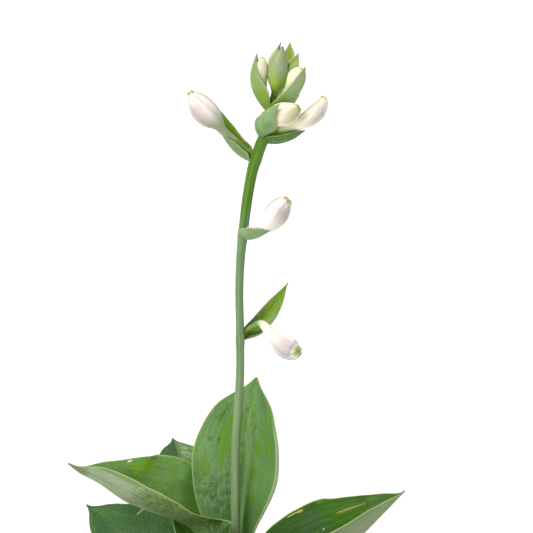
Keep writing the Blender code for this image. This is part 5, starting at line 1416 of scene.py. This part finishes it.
def pot_wall(height, inset):
    top = POT_RIM_RADIUS - 0.005
    return POT_FOOT_RADIUS + (top - POT_FOOT_RADIUS) * height / POT_HEIGHT - inset


def soil_top(x, y):
    """How far the soil's top rises or sinks at a place."""
    return SOIL_ROUGHNESS * noise.fractal(Vector((x, y, 0.0)) * 85.0, 0.7, 2.0, 6)


def earth_finish(name, dark, light, scale):
    earth = Finish(name, IOR=1.33)
    at = earth.position()
    clods = earth.clouds(at, scale, 5.0, 0.6)
    fine = earth.cells(at, scale * 5.0)
    earth.coat = earth.blend(dark, light, clods.step(0.4, 0.66))
    earth.paint(dark, fine.step(0.55, 0.85) * 0.5)
    return earth.finish(0.75 + clods * 0.2, clods * 0.8 + fine * 0.4, 0.0008)


def soil():
    edge = pot_wall(SOIL_LEVEL, SOIL_INSET)
    hole = CROWN_RADIUS + GAP
    profile = [(0.0, POT_FLOOR + GAP), (pot_wall(POT_FLOOR, SOIL_INSET) - 0.004, POT_FLOOR + GAP),
               (pot_wall(0.0123, SOIL_INSET), 0.0123), (edge, SOIL_LEVEL - 0.0025)]
    profile += [(radius, SOIL_LEVEL) for radius in np.linspace(edge - 0.001, hole + 0.0005, 70)]
    profile += [(hole, SOIL_LEVEL - 0.001), (hole, CROWN_TOP - 0.01), (0.5 * hole, 0.0852), (0.0, 0.085)]

    def rough(turns, radius, height):
        if height < SOIL_LEVEL:
            return radius + 0 * turns, height
        lift = np.array([soil_top(radius * math.cos(t), radius * math.sin(t)) for t in turns])
        return radius + 0 * turns, height + lift.clip(-0.0015, 0.0009)

    points, faces = lathe(profile, 260, rough)
    skin = earth_finish("earth", (0.018, 0.011, 0.007), (0.075, 0.048, 0.032), 420.0)
    piece("soil_fine", points, faces, skin, "soil", ["soil"])


soil()


# %% Scatter crumbs, bark and perlite
def chunks(name, count, small, large, stretch, skin, seed):
    """Many rough chunks on the soil as one mesh."""
    mould = bmesh.new()
    bmesh.ops.create_icosphere(mould, subdivisions=2, radius=1.0)
    ball = np.array([vertex.co for vertex in mould.verts])
    ball_faces = [tuple(vertex.index for vertex in face.verts) for face in mould.faces]
    mould.free()
    draw = np.random.default_rng(seed)
    points, faces = [], []
    edge = pot_wall(SOIL_LEVEL, SOIL_INSET)
    for number in range(count):
        size = small + (large - small) * draw.uniform() ** 2.5
        nearest, farthest = CROWN_RADIUS + 0.003, edge - 1.3 * size * stretch
        radius = math.sqrt(draw.uniform(nearest**2, farthest**2))
        azimuth = draw.uniform(0, 2 * math.pi)
        body = ball * (1.0 + 0.35 * draw.uniform(-1, 1, (len(ball), 1)))
        body = body * np.array([stretch, draw.uniform(0.6, 1.0), draw.uniform(0.45, 0.8)]) * size
        turn, tilt = draw.uniform(0, 2 * math.pi), draw.uniform(-0.5, 0.5)
        c, s, lean_c, lean_s = math.cos(turn), math.sin(turn), math.cos(tilt), math.sin(tilt)
        spin = np.array([[c, -s, 0], [s, c, 0], [0, 0, 1]])
        lean = np.array([[lean_c, 0, lean_s], [0, 1, 0], [-lean_s, 0, lean_c]])
        body = body @ (spin @ lean).T
        x, y = radius * math.cos(azimuth), radius * math.sin(azimuth)
        body = body + (x, y, SOIL_LEVEL + soil_top(x, y) + 0.3 * size)
        faces += [tuple(corner + number * len(ball) for corner in face) for face in ball_faces]
        points.append(body)
    made = piece(name, np.vstack(points), faces, skin, "soil", sharp=40)
    print(name, count, "chunks,", len(made.data.polygons), "faces")


crumb = earth_finish("crumb", (0.02, 0.012, 0.008), (0.085, 0.054, 0.034), 700.0)
chunks("soil_crumbs", 900, 0.0007, 0.0026, 1.1, crumb, 5)
bark = earth_finish("bark", (0.06, 0.03, 0.016), (0.21, 0.115, 0.06), 500.0)
chunks("bark_bits", 120, 0.0012, 0.0038, 2.1, bark, 6)
white = earth_finish("perlite_white", (0.55, 0.53, 0.49), (0.82, 0.8, 0.76), 900.0)
chunks("perlite", 90, 0.0006, 0.0016, 1.0, white, 8)

# %% [markdown]
# ## The clay pot
# The pot is outside the picture, so it is a plain one of the usual kind: a tapered body, a rim band
# and three drain holes. It was thrown on a wheel, which leaves faint rings, and it has stood outdoors,
# so pale lime has bloomed on it and the damp has darkened its foot. A lathe of fine rings gives the
# form, a Boolean cuts the drain holes, and noise that follows height and turn lays the stains.

# %% Finish of the clay
def clay_finish():
    clay = Finish("fired_clay", IOR=1.45)
    at = clay.position()
    z = clay.parts(at)[2]
    broad = clay.clouds(at, 22.0, 4.0)
    patches = clay.clouds(at, 70.0, 5.0, 0.6)
    grit = clay.clouds(at, 1300.0, 2.0)
    pits = clay.cells(at, 520.0)
    runs = clay.clouds(at * (1.0, 1.0, 0.12), 120.0, 4.0)
    rings = clay.clouds(clay.vector(0.0, 0.0, z), 420.0, 3.0)
    clay.coat = clay.blend((0.52, 0.215, 0.115), (0.4, 0.15, 0.075), broad.step(0.38, 0.64))
    clay.paint((0.62, 0.3, 0.17), patches.step(0.54, 0.7) * 0.6)
    clay.paint((0.36, 0.13, 0.065), rings.step(0.5, 0.66) * 0.35)
    damp = (z + (broad - 0.5) * 0.05).step(0.03, 0.006)
    clay.paint((0.24, 0.095, 0.055), damp * 0.7)
    lime = (patches * 0.6 + runs * 0.6).step(0.62, 0.8) * (z + (broad - 0.5) * 0.09).step(0.1, 0.045)
    clay.paint((0.74, 0.66, 0.58), lime * 0.7)
    lip = (z + (patches - 0.5) * 0.01).step(0.1255, 0.13)
    clay.paint((0.66, 0.48, 0.38), lip * patches.step(0.4, 0.62) * 0.75)
    clay.paint((0.2, 0.075, 0.04), pits.step(0.16, 0.05) * 0.5)
    green = (runs * 0.5 + broad * 0.6).step(0.6, 0.72) * z.step(0.045, 0.015)
    clay.paint((0.1, 0.13, 0.05), green * 0.45)
    roughness = 0.8 + grit * 0.12 - damp * 0.2
    relief = grit * 0.35 + patches * 0.4 + rings * 0.8 - pits.step(0.16, 0.05) * 0.6
    return clay.finish(roughness, relief, 0.0004)


# %% Turn the pot
POT_RIM_HEIGHT = 0.026
EDGE_ROUND = 0.002
DRAIN_RADIUS = 0.005
DRAIN_RING = 0.028
DRAIN_HOLES = 3
POT_SHARP = 50
POT_SIDES = 256
CORNERS = [EDGE_ROUND, 0.0007, 0.0016, 0.0024, 0.002, 0.006]
CHIPS = ((0.9, 0.03, 0.0016), (2.7, 0.05, 0.001), (4.4, 0.022, 0.0013), (5.6, 0.035, 0.0008))
THROWING_RINGS = ((0.00016, 0.0047), (0.0001, 0.0019))


def rounded(corners, radii, steps=7):
    """A profile whose corners are rounded, each by its own radius."""
    made = [corners[0]]
    for before, corner, after, radius in zip(corners, corners[1:], corners[2:], radii):
        before, corner, after = (np.array(point, float) for point in (before, corner, after))
        back, on = unit(before - corner), unit(after - corner)
        start, end = corner + back * radius, corner + on * radius
        for share in np.linspace(0.0, 1.0, steps):
            rest = 1 - share
            made.append(tuple(rest**2 * start + 2 * share * rest * corner + share**2 * end))
    return made + [corners[-1]]


def fill_in(profile, longest):
    """More points on a profile, so that no step is longer than that."""
    made = [profile[0]]
    for a, b in zip(profile, profile[1:]):
        a, b = np.array(a), np.array(b)
        count = max(1, math.ceil(np.linalg.norm(b - a) / longest))
        made += [tuple(a + (b - a) * step / count) for step in range(1, count + 1)]
    return made


def pot():
    band = POT_HEIGHT - POT_RIM_HEIGHT
    corners = [
        (0.0, 0.0), (POT_FOOT_RADIUS, 0.0), (pot_wall(band, 0.0), band), (POT_RIM_RADIUS - 0.0008, band),
        (POT_RIM_RADIUS, POT_HEIGHT), (pot_wall(POT_HEIGHT, POT_WALL), POT_HEIGHT),
        (pot_wall(POT_FLOOR, POT_WALL), POT_FLOOR), (0.0, POT_FLOOR),
    ]
    profile = fill_in(rounded(corners, CORNERS), 0.0012)

    def thrown(turns, radius, height):
        if radius < 0.9 * POT_FOOT_RADIUS:
            return radius + 0 * turns, height
        rings = sum(deep * math.sin(2 * math.pi * height / apart) for deep, apart in THROWING_RINGS)
        wobble = 0.0002 * np.sin(2 * turns + 30.0 * height)
        wobble = wobble + 0.00008 * ripple(turns / (2 * math.pi), 3, 5.0)
        chip = np.zeros_like(turns)
        if height > POT_HEIGHT - 0.004:
            for place, breadth, depth in CHIPS:
                bite = np.exp(-(((turns - place) / breadth) ** 2)) * (1 + 0.4 * np.sin(90 * turns))
                chip = chip + depth * bite
        inset = 0.00045 if radius > POT_FOOT_RADIUS else 0.0
        reach = radius - inset + (rings + wobble) * (height > 0.002) - 0.6 * chip
        return reach, np.maximum(height - chip * (height > 0.127), 0.0)

    points, faces = lathe(profile, POT_SIDES, thrown)
    made = piece("pot_fine", points, faces, clay_finish(), "clay", ["pot"], sharp=POT_SHARP)
    for number in range(DRAIN_HOLES):
        azimuth = 2 * math.pi * number / DRAIN_HOLES + math.radians(90)
        centre = (DRAIN_RING * math.cos(azimuth), DRAIN_RING * math.sin(azimuth))
        rings, _ = ring_points([(*centre, -0.01), (*centre, 0.02)], np.full((2, 40), DRAIN_RADIUS))
        flat, drill_faces, _ = tube_mesh(rings[[0, 0, 1]], np.zeros((3, 40, 3)))
        drill_mesh = bpy.data.meshes.new("drill")
        drill_mesh.from_pydata(flat.tolist(), [], drill_faces)
        drill = placed("drill", drill_mesh)
        cut = made.modifiers.new("drain", "BOOLEAN")
        cut.operation, cut.solver, cut.object = "DIFFERENCE", "EXACT", drill
        evaluated = made.evaluated_get(bpy.context.evaluated_depsgraph_get())
        shaped = bpy.data.meshes.new_from_object(evaluated)
        made.modifiers.clear()
        made.data = shaped
        bpy.data.objects.remove(drill)
    made.data.shade_smooth()
    made.data.set_sharp_from_angle(angle=math.radians(POT_SHARP))
    print("the pot with its holes has", len(made.data.polygons), "faces")


pot()

# %% [markdown]
# ## Floor, light and camera
# The picture was taken against plain white, with soft light from the upper left. A very wide pale
# floor runs into a white world, so no edge shows from any side. A broad sun is the key, softened as
# by a large window, and the world fills the shadows. The camera stands at the picture's angle, eight
# degrees above the level, with a long lens.

# %% Floor and light
def floor():
    size = 60.0
    data = bpy.data.meshes.new("floor")
    corners = [(-size, -size, 0), (size, -size, 0), (size, size, 0), (-size, size, 0)]
    data.from_pydata(corners, [], [(0, 1, 2, 3)])
    paper = Finish("white_paper")
    grain = paper.clouds(paper.position(), 300.0, 2.0)
    paper.coat = paper.blend((0.93, 0.93, 0.93), (0.95, 0.95, 0.95), grain)
    data.materials.append(paper.finish(0.9 + grain * 0.05))
    made = placed("floor", data)


def sun(name, azimuth, height, strength, spread, tint):
    """A broad light that comes from an azimuth, where 0 is the camera's side and 90 the right."""
    lamp = bpy.data.lights.new(name, "SUN")
    lamp.energy, lamp.angle, lamp.color = strength, math.radians(spread), tint
    made = placed(name, lamp)
    a, e = math.radians(azimuth), math.radians(height)
    out = Vector((math.sin(a) * math.cos(e), -math.cos(a) * math.cos(e), math.sin(e)))
    made.rotation_mode = "QUATERNION"
    made.rotation_quaternion = out.to_track_quat("Z", "Y")


floor()
sun("key", -44, 44, 2.7, 36, (1.0, 0.985, 0.96))
sun("back_fill", 150, 40, 0.6, 60, (0.96, 0.98, 1.0))
world = bpy.data.worlds.new("white_room")
world.use_nodes = True
sky = world.node_tree.nodes["Background"]
seen = world.node_tree.nodes.new("ShaderNodeLightPath")
strength = world.node_tree.nodes.new("ShaderNodeMapRange")
world.node_tree.links.new(seen.outputs["Is Camera Ray"], strength.inputs["Value"])
strength.inputs["To Min"].default_value = 0.55
strength.inputs["To Max"].default_value = 1.05
world.node_tree.links.new(strength.outputs[0], sky.inputs["Strength"])
sky.inputs["Color"].default_value = (1.0, 1.0, 1.0, 1.0)
bpy.context.scene.world = world
bpy.context.scene.view_settings.view_transform = "Standard"

# %% Camera
CAMERA_RISE = math.radians(8)
CAMERA_FAR = 1.1
LOOKED_AT = Vector((0.019, 0.0, 0.335))
lens = bpy.data.cameras.new("camera")
lens.lens, lens.sensor_width = 120, 36
camera = placed("camera", lens)
outwards = Vector((0.0, -math.cos(CAMERA_RISE), math.sin(CAMERA_RISE)))
camera.location = LOOKED_AT + CAMERA_FAR * outwards
camera.rotation_mode = "QUATERNION"
camera.rotation_quaternion = (-outwards).to_track_quat("-Z", "Y")
bpy.context.scene.camera = camera
print("camera at", [round(value, 3) for value in camera.location])
